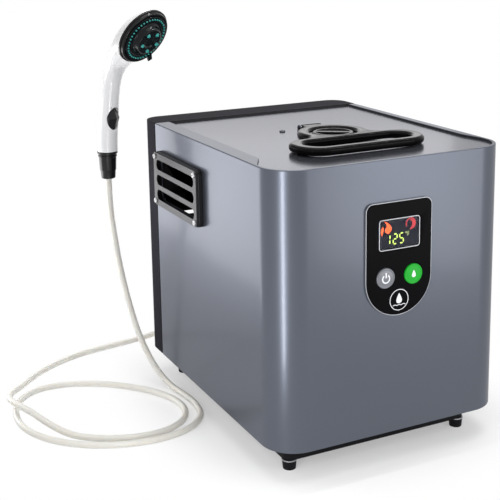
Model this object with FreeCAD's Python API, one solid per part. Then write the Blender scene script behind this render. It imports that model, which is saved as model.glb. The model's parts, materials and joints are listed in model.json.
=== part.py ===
"""Portable propane water heater with its hand shower, as an assembly of separate pieces.

Frame: millimetres, +Z up.  The origin is on the floor under the middle of the casing.
-Y is the front with the control panel, -X the side with the exhaust grille, +Y the rear
with the gas and water fittings.
"""
import FreeCAD, Part
import math
import os

V = FreeCAD.Vector
os.makedirs("parts", exist_ok=True)

# ---------------------------------------------------------------- driving dimensions
WIDTH = 300.0             # casing, left to right
DEPTH = 384.0             # casing, front to rear
CASE_BOTTOM = 37.0        # lower edge of the casing above the floor
CASE_HEIGHT = 315.0       # height of the casing walls
FRONT_R = 39.0            # upright front corners
REAR_R = 23.0             # upright rear corners
SHEET = 1.2               # casing sheet metal
COVER_DEPTH = 47.0        # how far the rear cover reaches forward
SEAM_GAP = 2.6            # shadow gap between casing wrap and rear cover
FLAT_GAP = 0.2            # clearance between flat faces that slide in on assembly
CLEAR = 0.3               # clearance round things that pass through a hole

SIDE_LIP = 20.0           # top lip of the casing along the left side
SIDE_LIP_RIGHT = 10.0     # and along the right side
FRONT_LIP = 4.0           # top lip along the front and round its corners
LIP_STEP_FRONT = 48.0     # where the lip starts to widen, behind the front face
LIP_STEP_LENGTH = 29.0    # length of the slanted step
GASKET = 1.5              # rubber between top lip and top plate
GASKET_WIDTH = 2.4
BOTTOM_LIP = 12.0         # inward return along the lower edge
PAN_SHEET = 1.2           # base pan

TRAY_WIDTH = 244.6        # black plinth tray under the pan
TRAY_FRONT = 158.0        # its front wall, ahead of the origin
TRAY_REAR = 166.0
TRAY_WALL = 2.5
TRAY_CORNER = 9.0
FOOT_HEIGHT = 10.6
FOOT_R = 8.4
FOOT_SOLE_R = 7.4
FOOT_INSET = 8.0          # foot centre to the tray's faces
WASHER = 1.4
WASHER_R = 9.0
FOOT_SCREW_R = 2.0

PANEL_WIDTH = 83.4        # black control panel on the front
PANEL_HEIGHT = 128.2
PANEL_DROP = 47.3         # its top below the top of the casing
PANEL_PROUD = 3.6
PANEL_NECK = 8.0          # part of the panel inside the casing
PANEL_CORNER = 8.0
NECK_INSET = 5.4
TRIM_WIDTH = 0.9
TRIM_PROUD = 2.6
WINDOW_W = 54.4           # display window
WINDOW_H = 35.4
WINDOW_DROP = 35.4        # middle of the window below the panel's top
WINDOW_R = 4.0
LENS_THICK = 1.5
LENS_LEDGE = 1.6
BUTTON_R = 11.5
BUTTON_X = 18.0
BUTTON_DROP = 83.7        # button centres below the panel's top
BUTTON_PROUD = 1.6
BUTTON_TRAVEL = 1.0
BUTTON_RIM = 1.4
BOARD_W = 74.0            # display and control board
BOARD_H = 106.0
BOARD_THICK = 1.6
BOARD_GAP = 7.0           # panel neck to board

GRILLE_LONG = 137.5       # exhaust grille on the left side
GRILLE_HIGH = 70.0
GRILLE_DROP = 33.0        # its top below the top of the casing
GRILLE_SETBACK = 13.0     # its rear edge ahead of the cover's seam
GRILLE_CORNER = 6.0
GRILLE_FRAME = 5.4        # depth of the black frame
GRILLE_WALL = 4.0
PLATE_RETURN = 3.0        # depth of the brushed plate with its folded edge
PLATE_SHEET = 1.0
SLOT_H = 13.0
SLOT_PITCH = 19.5
SLOT_FRONT_WALL = 8.0     # plate left ahead of and behind the slots
SLOT_REAR_WALL = 10.0
GRILLE_SCREW_R = 3.5
GRILLE_SCREW_INSET = 6.0

RING_Y = -52.3            # folding handle: centre of its ring and of the lock knob
RING_R = 42.6
RING_HOLE_R = 28.1
HANDLE_THICK = 9.6
HANDLE_LIFT = 1.1         # air between handle and top plate
LOOP_FRONT = -140.6
LOOP_REAR = -79.0
LOOP_HALF = 83.4
LOOP_FRONT_R = 31.0
LOOP_REAR_R = 24.0
GRIP_FRONT = -127.8       # finger opening
GRIP_REAR = -89.7
GRIP_HALF = 68.7
WEB_R = 14.0
HANDLE_ROUND = 4.2
HINGE_Y = 5.0
HINGE_RISE = 5.2          # pin above the top plate
HINGE_PIN_R = 1.5
HINGE_KNUCKLE_R = 4.2
HINGE_KNUCKLE_W = 24.0
EAR_THICK = 2.5
BRACKET_SHEET = 1.5
BRACKET_SCREW_X = 30.0
BRACKET_SCREW_Y = 20.0
KNOB_R = 24.5
KNOB_TOP = 9.3            # knob top above the top plate
KNOB_BOTTOM = 2.3
KNOB_BAR = 7.0
KNOB_POCKET_R = 20.5
KNOB_POCKET_DEPTH = 5.2
KNOB_REST = -35.0         # direction of the finger bar, degrees from +X
TAB_R = 27.2
TAB_LOW = 4.6
TAB_HIGH = 7.2
TAB_HALF = 11.0           # degrees
CATCH_R = 25.6
CATCH_TOP = 3.4
CATCH_HALF = 15.0
POST_R = 9.0
SPIGOT_R = 5.0
RUNNING = 0.08            # running clearance round a shaft

FITTING_Z = 78.0          # rear fittings
INLET_X = -48.0
OUTLET_X = 5.0
GAS_INSET = 56.0          # gas inlet from the casing's right face
SOCKET_INSET = 43.0       # charging socket from the casing's left face
SOCKET_Z = 84.0
THREAD_R = 10.4           # half inch garden thread
GAS_THREAD_R = 8.0
FITTING_OUT = 18.0
FITTING_IN = 16.0
BORE_R = 6.0
HEX_R = 14.0
HEX_THICK = 5.0

BURN_WIDE = 170.0         # burner, chamber and exchanger stack
BURN_DEEP = 110.0
BURN_SIDE_GAP = 38.0      # from the casing's right and rear faces
BURN_REAR_GAP = 72.0
BURNER_Z = 100.0
BURNER_HEIGHT = 34.0
BURNER_COUNT = 8
BURNER_THICK = 10.0
CHAMBER_Z = 138.0
FIN_HEIGHT = 46.0
FIN_HOOD_GAP = 2.0        # exchanger frame to hood floor
FIN_COUNT = 24
FIN_THICK = 0.6
WATER_TUBE_R = 6.5
HOOD_HIGH = 48.0
HOOD_DROP = 7.0           # hood's top below the grille's top
STACK_SHEET = 1.0
PIPE_R = 5.0
GAS_PIPE_R = 4.0

HANDSET_X = -204.5        # hand shower: foot of its handle
HANDSET_Y = 177.0
HANDSET_Z = 315.7
HANDSET_TURN = 24.0       # degrees its face is turned from -Y towards +X
FACE_S = 78.0             # centre of the face, ahead of and above the handle's foot
FACE_Z = 150.0
FACE_DIP = 30.0           # the face looks this far below level, degrees
FACE_R = 37.2
BEZEL_DEPTH = 6.0         # shell's rim behind the face
BEZEL_STEP = 2.5          # first step of the bezel above the shell's rim
BEZEL_STEP_R = 35.2
BEZEL_WALL = 5.6
SPRAY_THICK = 3.6
SPRAY_PROUD = 1.0
BOSS_R = 15.5
BOSS_RISE = 8.0
NOZZLE_RING_R = 27.7
NOZZLE_COUNT = 40
NOZZLE_R = 1.0
NOZZLE_LONG = 1.6
JET_COUNT = 5
JET_RING_R = 12.3
JET_R = 2.1
SELECTOR_TAB = -32.0      # the selector tab round the face, degrees from its lower edge
SELECTOR_TAB_W = 7.0
SELECTOR_REACH = 2.6      # tab beyond the bezel
SELECTOR_SWING = 60.0
SWITCH_Z = 44.0           # oval flow button on the handle
SWITCH_HALF_W = 9.6
SWITCH_HALF_H = 14.6
SWITCH_FACE = 19.3        # its rim ahead of the handle's axis
SWITCH_TRAVEL = 2.5
COLLAR_R = 13.2
COLLAR_FLANGE = 4.1
COLLAR_LONG = 36.0
COLLAR_TOP_R = 11.6
COLLAR_END_R = 9.4

HOSE_R = 4.0
# Route of the hose, from the rear outlet round two loops on the floor and up to the hand
# shower.  The points are the corners of the route; its bends are cut inside them.
HOSE_ROUTE = [
    (5.0, 240.0, 78.0), (5.0, 268.0, 78.0), (2.0, 292.0, 70.0), (-8.0, 310.0, 50.0),
    (-29.0, 319.0, 27.0), (-58.0, 315.0, 9.0), (-97.0, 300.0, 4.2), (-140.0, 289.0, 4.2),
    (-183.7, 283.0, 4.2), (-226.4, 275.3, 4.2), (-267.1, 257.5, 4.2), (-303.7, 231.2, 4.2),
    (-332.5, 196.9, 6.0), (-353.0, 163.7, 15.0), (-362.6, 132.7, 20.5), (-346.3, 86.9, 20.5),
    (-331.6, 59.1, 12.0), (-312.2, 32.1, 4.6), (-282.6, 8.1, 4.2), (-245.3, -7.5, 4.2),
    (-209.1, -9.7, 4.2), (-178.1, 6.3, 4.2), (-162.0, 34.8, 4.2), (-162.6, 69.1, 4.2),
    (-176.8, 103.5, 4.2), (-200.8, 135.1, 4.2), (-234.4, 164.0, 4.2), (-274.7, 183.3, 4.2),
    (-314.7, 184.6, 4.2), (-344.5, 160.1, 4.2), (-358.5, 121.1, 4.2), (-358.8, 78.3, 4.2),
    (-341.5, 37.2, 4.2), (-308.8, 3.5, 4.2), (-265.6, -18.8, 4.2), (-218.6, -25.8, 4.2),
    (-176.8, -15.7, 4.2), (-150.9, 10.8, 4.2), (-144.6, 45.1, 4.2), (-147.1, 78.5, 4.2),
    (-153.6, 109.9, 4.8), (-165.5, 134.2, 24.0), (-178.8, 153.6, 63.0),
    (-187.8, 167.8, 112.0), (-195.2, 174.8, 160.0), (-200.6, 177.0, 206.0),
    (-204.5, 177.0, 245.0), (-204.5, 177.0, 279.7),
]

# ---------------------------------------------------------------- derived places
TOP = CASE_BOTTOM + CASE_HEIGHT
LEFT = -WIDTH / 2
FRONT = -DEPTH / 2
REAR = DEPTH / 2
SEAM_Y = REAR - COVER_DEPTH
PLATE_Z = TOP - SHEET - GASKET          # upper face of the top plate
PAN_Z = CASE_BOTTOM + SHEET             # under face of the base pan
PAN_TOP = PAN_Z + PAN_SHEET
TRAY_Z = FOOT_HEIGHT + WASHER           # under face of the tray
HINGE_Z = PLATE_Z + HINGE_RISE
PANEL_TOP = TOP - PANEL_DROP
PANEL_BOTTOM = PANEL_TOP - PANEL_HEIGHT
WINDOW_Z = PANEL_TOP - WINDOW_DROP
BUTTON_Z = PANEL_TOP - BUTTON_DROP
PANEL_FACE = FRONT - PANEL_PROUD
NECK_BACK = FRONT + PANEL_NECK
BOARD_Y = NECK_BACK + BOARD_GAP
BOARD_Z = (PANEL_BOTTOM + PANEL_TOP) / 2
GRILLE_REAR = SEAM_Y - GRILLE_SETBACK
GRILLE_FRONT = GRILLE_REAR - GRILLE_LONG
GRILLE_TOP = TOP - GRILLE_DROP
GRILLE_BOTTOM = GRILLE_TOP - GRILLE_HIGH
SLOT_FRONT = GRILLE_FRONT + SLOT_FRONT_WALL
SLOT_REAR = GRILLE_REAR - SLOT_REAR_WALL
GRILLE_Y = (GRILLE_FRONT + GRILLE_REAR) / 2
GRILLE_Z = (GRILLE_BOTTOM + GRILLE_TOP) / 2
FRAME_FACE = LEFT - GRILLE_FRAME        # outer face of the black grille frame
PLATE_FACE = FRAME_FACE - PLATE_RETURN  # outer face of the brushed plate
BURN_REAR = REAR - BURN_REAR_GAP
BURN_FRONT = BURN_REAR - BURN_DEEP
BURN_RIGHT = WIDTH / 2 - BURN_SIDE_GAP
BURN_LEFT = BURN_RIGHT - BURN_WIDE
HOOD_TOP = GRILLE_TOP - HOOD_DROP
HOOD_Z = HOOD_TOP - HOOD_HIGH
FIN_Z = HOOD_Z - FIN_HOOD_GAP - FIN_HEIGHT
SOCKET_X = LEFT + SOCKET_INSET
GAS_X = WIDTH / 2 - GAS_INSET
BURN_X = (BURN_LEFT + BURN_RIGHT) / 2
BURN_Y = (BURN_FRONT + BURN_REAR) / 2


# ---------------------------------------------------------------- small building blocks
def box(x0, x1, y0, y1, z0, z1):
    """Block between two corners."""
    return Part.makeBox(x1 - x0, y1 - y0, z1 - z0, V(x0, y0, z0))


def rod(radius, start, end):
    """Round bar between two points."""
    a, b = V(*start), V(*end)
    return Part.makeCylinder(radius, (b - a).Length, a, b - a)


def taper(r0, r1, start, end):
    """Round bar whose radius changes from r0 to r1."""
    a, b = V(*start), V(*end)
    return Part.makeCone(r0, r1, (b - a).Length, a, b - a)


def hexagon(across, start, end):
    """Hexagonal bar, across = corner radius."""
    a, b = V(*start), V(*end)
    corners = [V(across * math.cos(math.radians(60 * i)), across * math.sin(math.radians(60 * i)), 0)
               for i in range(6)]
    face = Part.Face(Part.makePolygon(corners + corners[:1]))
    bar = face.extrude(V(0, 0, (b - a).Length))
    bar.Placement = FreeCAD.Placement(a, FreeCAD.Rotation(V(0, 0, 1), b - a))
    return bar


def outline(x0, x1, y0, y1, radii):
    """Rectangle with rounded corners; radii run front-left, front-right, rear-right, rear-left."""
    corners = [(x0, y0, 180), (x1, y0, 270), (x1, y1, 0), (x0, y1, 90)]
    inward = [(1, 1), (-1, 1), (-1, -1), (1, -1)]
    edges, last, first = [], None, None
    for (cx, cy, angle), (sx, sy), r in zip(corners, inward, radii):
        centre = V(cx + sx * r, cy + sy * r, 0)
        ends = [centre + V(r * math.cos(math.radians(angle + t)), r * math.sin(math.radians(angle + t)), 0)
                for t in (0, 45, 90)]
        if last is not None and (ends[0] - last).Length > 1e-6:
            edges.append(Part.LineSegment(last, ends[0]).toShape())
        edges.append(Part.Arc(*ends).toShape())
        last = ends[2]
        first = first or ends[0]
    if (first - last).Length > 1e-6:
        edges.append(Part.LineSegment(last, first).toShape())
    return Part.Wire(edges)


def prism(wire, lo, hi, plane="XY"):
    """Wire drawn flat, made solid from lo to hi along the plane's normal.

    XY: drawn as (x, y), normal z.  XZ: drawn as (x, z), normal y.  YZ: drawn as (y, z), normal x.
    """
    if plane == "XZ":
        solid = Part.Face(wire).extrude(V(0, 0, hi - lo))
        solid.translate(V(0, 0, -hi))
        solid.rotate(V(0, 0, 0), V(1, 0, 0), 90)
        return solid
    solid = Part.Face(wire).extrude(V(0, 0, hi - lo))
    solid.translate(V(0, 0, lo))
    if plane == "YZ":
        solid.rotate(V(0, 0, 0), V(1, 1, 1), 120)
    return solid


def slot(u0, u1, v, height, lo, hi, plane):
    """Round-ended slot from u0 to u1, its middle at v."""
    r = height / 2 - 0.01
    return prism(outline(u0, u1, v - height / 2, v + height / 2, [r] * 4), lo, hi, plane)


def fuse(shapes):
    """One solid out of touching shapes."""
    joined = shapes[0].fuse(shapes[1:]) if len(shapes) > 1 else shapes[0]
    return joined.removeSplitter()


def cut(shape, tools):
    """Shape less every tool."""
    for tool in tools:
        shape = shape.cut(tool)
    return shape


def pan_head(radius, height, place, direction):
    """Screw head with a round rim and a cross recess, standing on place."""
    head = Part.makeCylinder(radius, height)
    head = head.makeFillet(height * 0.6, [e for e in head.Edges if e.BoundBox.ZMin > height - 1e-3])
    arm, width, deep = radius * 0.6, radius * 0.26, height * 0.45
    head = cut(head, [Part.makeBox(2 * arm, width, height, V(-arm, -width / 2, height - deep)),
                      Part.makeBox(width, 2 * arm, height, V(-width / 2, -arm, height - deep))])
    head.Placement = FreeCAD.Placement(V(*place), FreeCAD.Rotation(V(0, 0, 1), V(*direction)))
    return head


def route(points, name):
    """Straight runs joined by tangent arcs, each arc as large as its two runs allow."""
    pts = [V(*p) for p in points]
    edges, start, radii = [], pts[0], []
    for before, at, after in zip(pts, pts[1:], pts[2:]):
        a, b = (before - at), (after - at)
        run = min(a.Length, b.Length)
        a.normalize()
        b.normalize()
        turn = math.pi - a.getAngle(b)
        radius = 0.45 * run / math.tan(turn / 2)
        radii.append(radius)
        p1, p2 = at + a * (0.45 * run), at + b * (0.45 * run)
        toward = (a + b).normalize()
        middle = at + toward * (radius / math.cos(turn / 2) - radius)
        edges.append(Part.LineSegment(start, p1).toShape())
        edges.append(Part.Arc(p1, middle, p2).toShape())
        start = p2
    edges.append(Part.LineSegment(start, pts[-1]).toShape())
    print(name, "radii", [round(r) for r in radii], "smallest", round(min(radii), 1),
          "length", round(sum(e.Length for e in edges), 1))
    return Part.Wire(edges)


def swept(points, radius, name):
    """Round tube or pipe along a route."""
    path = route(points, name)
    direction = V(*points[1]) - V(*points[0])
    section = Part.Wire(Part.makeCircle(radius, V(*points[0]), direction))
    solid = path.makePipeShell([section], True, False)
    print(name, "volume ratio", round(solid.Volume / (math.pi * radius ** 2 * path.Length), 4))
    return solid


def export(node, *pieces):
    """One STEP file per node; a group of separate solids stays a group."""
    shape = pieces[0] if len(pieces) == 1 else Part.makeCompound(list(pieces))
    assert all(s.isValid() and s.Volume > 0 for s in shape.Solids) and shape.Solids, node
    shape.exportStep("parts/" + node + ".step")
    print(node, "solids", len(shape.Solids), "cm3", round(shape.Volume / 1000, 2))


# ---------------------------------------------------------------- casing
def case_outline(inset):
    """Plan outline of the casing, moved inwards by inset."""
    half = WIDTH / 2 - inset
    front, rear = FRONT_R - inset, REAR_R - inset
    return outline(-half, half, FRONT + inset, REAR - inset, [front, front, rear, rear])


def top_opening(grow=0.0):
    """Plan outline of the opening in the top lip, moved outwards by grow."""
    left, right = SIDE_LIP - WIDTH / 2 - grow, WIDTH / 2 - SIDE_LIP_RIGHT + grow
    corner_r = FRONT_R - FRONT_LIP + grow
    front = FRONT + FRONT_LIP - grow
    wide = WIDTH / 2 - FRONT_LIP + grow
    step = FRONT + LIP_STEP_FRONT
    step_end = step + LIP_STEP_LENGTH
    rear = SEAM_Y + grow
    cx, cy = wide - corner_r, front + corner_r
    diag = corner_r * math.sqrt(0.5)
    edges = [
        Part.LineSegment(V(-cx, front, 0), V(cx, front, 0)),
        Part.Arc(V(cx, front, 0), V(cx + diag, cy - diag, 0), V(wide, cy, 0)),
        Part.LineSegment(V(wide, cy, 0), V(wide, step, 0)),
        Part.LineSegment(V(wide, step, 0), V(right, step_end, 0)),
        Part.LineSegment(V(right, step_end, 0), V(right, rear, 0)),
        Part.LineSegment(V(right, rear, 0), V(left, rear, 0)),
        Part.LineSegment(V(left, rear, 0), V(left, step_end, 0)),
        Part.LineSegment(V(left, step_end, 0), V(-wide, step, 0)),
        Part.LineSegment(V(-wide, step, 0), V(-wide, cy, 0)),
        Part.Arc(V(-wide, cy, 0), V(-cx - diag, cy - diag, 0), V(-cx, front, 0)),
    ]
    return Part.Wire([e.toShape() for e in edges])


def casing_shell():
    """Whole sheet-metal skin before it is divided into wrap and rear cover."""
    skin = prism(case_outline(0), CASE_BOTTOM, TOP)
    skin = skin.cut(prism(case_outline(SHEET), CASE_BOTTOM + SHEET, TOP - SHEET))
    skin = skin.cut(prism(case_outline(BOTTOM_LIP), CASE_BOTTOM - 1, CASE_BOTTOM + SHEET + 1))
    return skin.cut(prism(top_opening(), TOP - SHEET - 1, TOP + 1))


def panel_outline(inset):
    """Front view of the control panel: straight sides, rounded top corners, round bottom."""
    half = PANEL_WIDTH / 2 - inset
    top = PANEL_TOP - inset
    low = PANEL_BOTTOM + PANEL_WIDTH / 2
    r = PANEL_CORNER - min(inset, PANEL_CORNER - 1)
    d = r * (1 - math.sqrt(0.5))
    edges = [
        Part.Arc(V(-half, low, 0), V(0, low - half, 0), V(half, low, 0)),
        Part.LineSegment(V(half, low, 0), V(half, top - r, 0)),
        Part.Arc(V(half, top - r, 0), V(half - d, top - d, 0), V(half - r, top, 0)),
        Part.LineSegment(V(half - r, top, 0), V(-half + r, top, 0)),
        Part.Arc(V(-half + r, top, 0), V(-half + d, top - d, 0), V(-half, top - r, 0)),
        Part.LineSegment(V(-half, top - r, 0), V(-half, low, 0)),
    ]
    return Part.Wire([e.toShape() for e in edges])


def exhaust_cut(lo, hi):
    """Rectangular hole in the left wall behind the grille."""
    return box(lo, hi, GRILLE_FRONT + GRILLE_WALL + 4, GRILLE_REAR - GRILLE_WALL - 4,
               GRILLE_BOTTOM + GRILLE_WALL + 3, GRILLE_TOP - GRILLE_WALL - 3)


def grille_screw_places():
    """Corners of the grille where its screws sit, as (y, z)."""
    return [(y, z) for y in (GRILLE_FRONT + GRILLE_SCREW_INSET, GRILLE_REAR - GRILLE_SCREW_INSET)
            for z in (GRILLE_BOTTOM + GRILLE_SCREW_INSET, GRILLE_TOP - GRILLE_SCREW_INSET)]


def housing_wrap():
    """Front and both sides: one folded sheet with the large front corners."""
    wrap = casing_shell().common(box(LEFT - 1, -LEFT + 1, FRONT - 1, SEAM_Y - SEAM_GAP / 2,
                                     CASE_BOTTOM - 1, TOP + 1))
    holes = [prism(panel_outline(NECK_INSET - CLEAR), FRONT - 1, FRONT + SHEET + 1, "XZ"),
             exhaust_cut(LEFT - 1, LEFT + SHEET + 1)]
    holes += [rod(1.6, (LEFT - 1, y, z), (LEFT + SHEET + 1, y, z)) for y, z in grille_screw_places()]
    return cut(wrap, holes)


LOUVRE_ROWS = 6
LOUVRE_PITCH = 14.0
LOUVRE_Z = TOP - 172
LOUVRE_X = 62.0
LOUVRE_HALF = 34.0
LOUVRE_H = 5.0
TONGUE_LONG = 14.0


def rear_fitting_places():
    """Holes in the rear cover as (x, z, radius)."""
    return [(INLET_X, FITTING_Z, THREAD_R), (OUTLET_X, FITTING_Z, THREAD_R), (GAS_X, FITTING_Z, GAS_THREAD_R)]


def rear_cover():
    """Rear wall with wrapped sides and top band; a tongue slides inside the casing wrap."""
    cover = casing_shell().common(box(LEFT - 1, -LEFT + 1, SEAM_Y + SEAM_GAP / 2, REAR + 1,
                                      CASE_BOTTOM - 1, TOP + 1))
    inner = SHEET + FLAT_GAP
    tongues = []
    for side in (-1, 1):
        x_out = side * (WIDTH / 2 - inner)
        x_in = side * (WIDTH / 2 - inner - SHEET)
        web_x = side * (WIDTH / 2 - SHEET)
        low, high = CASE_BOTTOM + 12, PLATE_Z - 6
        tongues.append(box(min(x_out, x_in), max(x_out, x_in), SEAM_Y - TONGUE_LONG,
                           SEAM_Y + 6, low, high))
        tongues.append(box(min(x_out, web_x), max(x_out, web_x), SEAM_Y + SEAM_GAP / 2,
                           SEAM_Y + 6, low, high))
    cover = fuse([cover] + tongues)
    holes = [rod(r + CLEAR, (x, REAR - SHEET - 1, z), (x, REAR + 1, z)) for x, z, r in rear_fitting_places()]
    holes.append(box(SOCKET_X - 9 - CLEAR, SOCKET_X + 9 + CLEAR, REAR - SHEET - 1, REAR + 1,
                     SOCKET_Z - 7 - CLEAR, SOCKET_Z + 7 + CLEAR))
    for side in (-1, 1):
        for row in range(LOUVRE_ROWS):
            z = LOUVRE_Z + (row - (LOUVRE_ROWS - 1) / 2) * LOUVRE_PITCH
            centre = side * LOUVRE_X
            holes.append(slot(centre - LOUVRE_HALF, centre + LOUVRE_HALF, z, LOUVRE_H,
                              REAR - SHEET - 1, REAR + 1, "XZ"))
    return cut(cover, holes)


COVER_SCREW_X = WIDTH / 2 - 16
COVER_SCREW_Z = (CASE_BOTTOM + 28, (CASE_BOTTOM + TOP) / 2 + 3, TOP - 22)
COVER_SCREW_HEAD_R = 4.0
SCREW_HEAD = 2.0


def cover_screws():
    """Pan-head screws down both edges of the rear cover, into the rear struts."""
    return [pan_head(COVER_SCREW_HEAD_R, SCREW_HEAD, (side * COVER_SCREW_X, REAR, z), (0, 1, 0))
            for side in (-1, 1) for z in COVER_SCREW_Z]


def top_plate():
    """Flat plate held up under the casing's top lip."""
    plate = prism(case_outline(SHEET + FLAT_GAP * 2), PLATE_Z - SHEET, PLATE_Z)
    holes = [rod(SPIGOT_R - 1 + RUNNING, (0, RING_Y, PLATE_Z - SHEET - 1), (0, RING_Y, PLATE_Z + 1))]
    for side in (-1, 1):
        x = side * (HINGE_KNUCKLE_W / 2 + CLEAR + EAR_THICK / 2)
        half = EAR_THICK / 2 + CLEAR
        holes.append(box(x - half, x + half, HINGE_Y - HINGE_KNUCKLE_R - CLEAR,
                         HINGE_Y + HINGE_KNUCKLE_R + CLEAR, PLATE_Z - SHEET - 1, PLATE_Z + 1))
        holes.append(rod(1.8, (side * BRACKET_SCREW_X, BRACKET_SCREW_Y, PLATE_Z - SHEET - 1),
                         (side * BRACKET_SCREW_X, BRACKET_SCREW_Y, PLATE_Z + 1)))
    return cut(plate, holes)


def top_gasket():
    """Black rubber strip between lip and plate; its edge shows as the dark seam."""
    ring = prism(top_opening(GASKET_WIDTH), PLATE_Z, PLATE_Z + GASKET)
    return ring.cut(prism(top_opening(-CLEAR), PLATE_Z - 1, PLATE_Z + GASKET + 1))


def base_pan():
    """Steel floor of the casing, lying on the bottom lip."""
    return prism(case_outline(SHEET + 2 * FLAT_GAP), PAN_Z, PAN_TOP)


def base_tray():
    """Black moulded plinth that carries the feet."""
    half = TRAY_WIDTH / 2
    tray = prism(outline(-half, half, -TRAY_FRONT, TRAY_REAR, [TRAY_CORNER] * 4), TRAY_Z, PAN_Z)
    inner = prism(outline(-half + TRAY_WALL, half - TRAY_WALL, -TRAY_FRONT + TRAY_WALL, TRAY_REAR - TRAY_WALL,
                          [TRAY_CORNER - TRAY_WALL] * 4), TRAY_Z + TRAY_WALL, PAN_Z + 1)
    holes = [rod(FOOT_SCREW_R + 0.1, (x, y, TRAY_Z - 1), (x, y, TRAY_Z + TRAY_WALL + 1)) for x, y in foot_places()]
    return cut(tray, [inner] + holes)


def foot_places():
    """Centres of the four feet."""
    x = TRAY_WIDTH / 2 - FOOT_INSET
    return [(sx * x, y) for sx in (-1, 1) for y in (-TRAY_FRONT + FOOT_INSET, TRAY_REAR - FOOT_INSET)]


def feet():
    """Round rubber feet, recessed for their screws."""
    return [cut(taper(FOOT_SOLE_R, FOOT_R, (x, y, 0), (x, y, FOOT_HEIGHT)),
                [rod(FOOT_SCREW_R + 2.2, (x, y, -1), (x, y, 4.4)),
                 rod(FOOT_SCREW_R + 0.1, (x, y, 4), (x, y, FOOT_HEIGHT + 1))]) for x, y in foot_places()]


def foot_washers():
    """Bright washers between feet and tray."""
    return [rod(WASHER_R, (x, y, FOOT_HEIGHT), (x, y, TRAY_Z)).cut(
        rod(FOOT_SCREW_R + 0.1, (x, y, 0), (x, y, TRAY_Z + 1))) for x, y in foot_places()]


def foot_screws():
    """Pan-head screws inside the feet, through washer and tray."""
    return [fuse([pan_head(FOOT_SCREW_R + 1.8, SCREW_HEAD, (x, y, 4.4), (0, 0, -1)),
                  rod(FOOT_SCREW_R, (x, y, 4.4), (x, y, TRAY_Z + TRAY_WALL + 3))]) for x, y in foot_places()]


# ---------------------------------------------------------------- control panel
def window(inset, lo, hi):
    """Rounded opening of the display, moved inwards by inset."""
    w, h = WINDOW_W / 2 - inset, WINDOW_H / 2 - inset
    r = max(WINDOW_R - inset, 0.8)
    return prism(outline(-w, w, WINDOW_Z - h, WINDOW_Z + h, [r] * 4), lo, hi, "XZ")


def board_posts():
    """Places of the posts between panel and board, as (x, z)."""
    return [(sx * (BOARD_W / 2 - 5), z) for sx in (-1, 1) for z in (BOARD_Z - 28, BOARD_Z + BOARD_H / 2 - 7)]


def control_panel():
    """Black moulding: proud shield, neck through the casing, posts for the board."""
    body = [prism(panel_outline(0), PANEL_FACE, FRONT, "XZ"),
            prism(panel_outline(NECK_INSET), FRONT - 0.5, NECK_BACK, "XZ")]
    body += [rod(3.0, (x, NECK_BACK - 1, z), (x, BOARD_Y, z)) for x, z in board_posts()]
    holes = [window(0, PANEL_FACE - 1, PANEL_FACE + LENS_THICK + 0.3),
             window(LENS_LEDGE, PANEL_FACE - 1, NECK_BACK + 1)]
    for side in (-1, 1):
        x = side * BUTTON_X
        holes.append(rod(BUTTON_R + CLEAR, (x, PANEL_FACE - 1, BUTTON_Z), (x, NECK_BACK + 1, BUTTON_Z)))
    return cut(fuse(body), holes)


def panel_trim():
    """Thin bright frame round the panel."""
    return prism(panel_outline(-TRIM_WIDTH), FRONT - TRIM_PROUD, FRONT, "XZ").cut(
        prism(panel_outline(0), FRONT - TRIM_PROUD - 1, FRONT + 1, "XZ"))


def display_lens():
    """Clear window glued on its ledge, flush with the panel."""
    return window(0.15, PANEL_FACE + 0.3, PANEL_FACE + 0.3 + LENS_THICK)


def lcd_module():
    """Display behind the lens, standing on the board."""
    return window(LENS_LEDGE + CLEAR, PANEL_FACE + 0.3 + LENS_THICK, BOARD_Y)


def push_button(x):
    """Round cap with a shallow crown, a rim behind the panel and a stem to its switch."""
    face = PANEL_FACE - BUTTON_PROUD
    crown_r = 70.0
    cap = rod(BUTTON_R, (x, face - 0.1, BUTTON_Z), (x, NECK_BACK + 0.3, BUTTON_Z))
    ball = Part.makeSphere(crown_r, V(x, face + crown_r, BUTTON_Z))
    rim = rod(BUTTON_R + BUTTON_RIM, (x, NECK_BACK + FLAT_GAP, BUTTON_Z), (x, NECK_BACK + FLAT_GAP + 1.2, BUTTON_Z))
    stem = rod(2.5, (x, NECK_BACK, BUTTON_Z), (x, BOARD_Y - SWITCH_BODY - BUTTON_TRAVEL - 0.2, BUTTON_Z))
    return fuse([cap.common(ball), rim, stem])


SWITCH_BODY = 3.4


def control_board():
    """Circuit board with the two press switches and the larger components."""
    board = box(-BOARD_W / 2, BOARD_W / 2, BOARD_Y, BOARD_Y + BOARD_THICK, BOARD_Z - BOARD_H / 2, BOARD_Z + BOARD_H / 2)
    pieces = [board]
    for side in (-1, 1):
        x = side * BUTTON_X
        pieces.append(box(x - 3, x + 3, BOARD_Y - SWITCH_BODY, BOARD_Y, BUTTON_Z - 3, BUTTON_Z + 3))
    back = BOARD_Y + BOARD_THICK
    pieces.append(box(-16, 16, back, back + 9, BOARD_Z - 8, BOARD_Z + 14))
    pieces.append(box(-30, -20, back, back + 12, BOARD_Z - 40, BOARD_Z - 22))
    pieces += [rod(4.5, (x, back, BOARD_Z + 34), (x, back + 14, BOARD_Z + 34)) for x in (-24, -12, 24)]
    return pieces


# ---------------------------------------------------------------- exhaust grille
def grille_outline(inset):
    """Side view of the grille, moved inwards by inset."""
    return outline(GRILLE_FRONT + inset, GRILLE_REAR - inset, GRILLE_BOTTOM + inset, GRILLE_TOP - inset,
                   [max(GRILLE_CORNER - inset, 1.5)] * 4)


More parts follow.
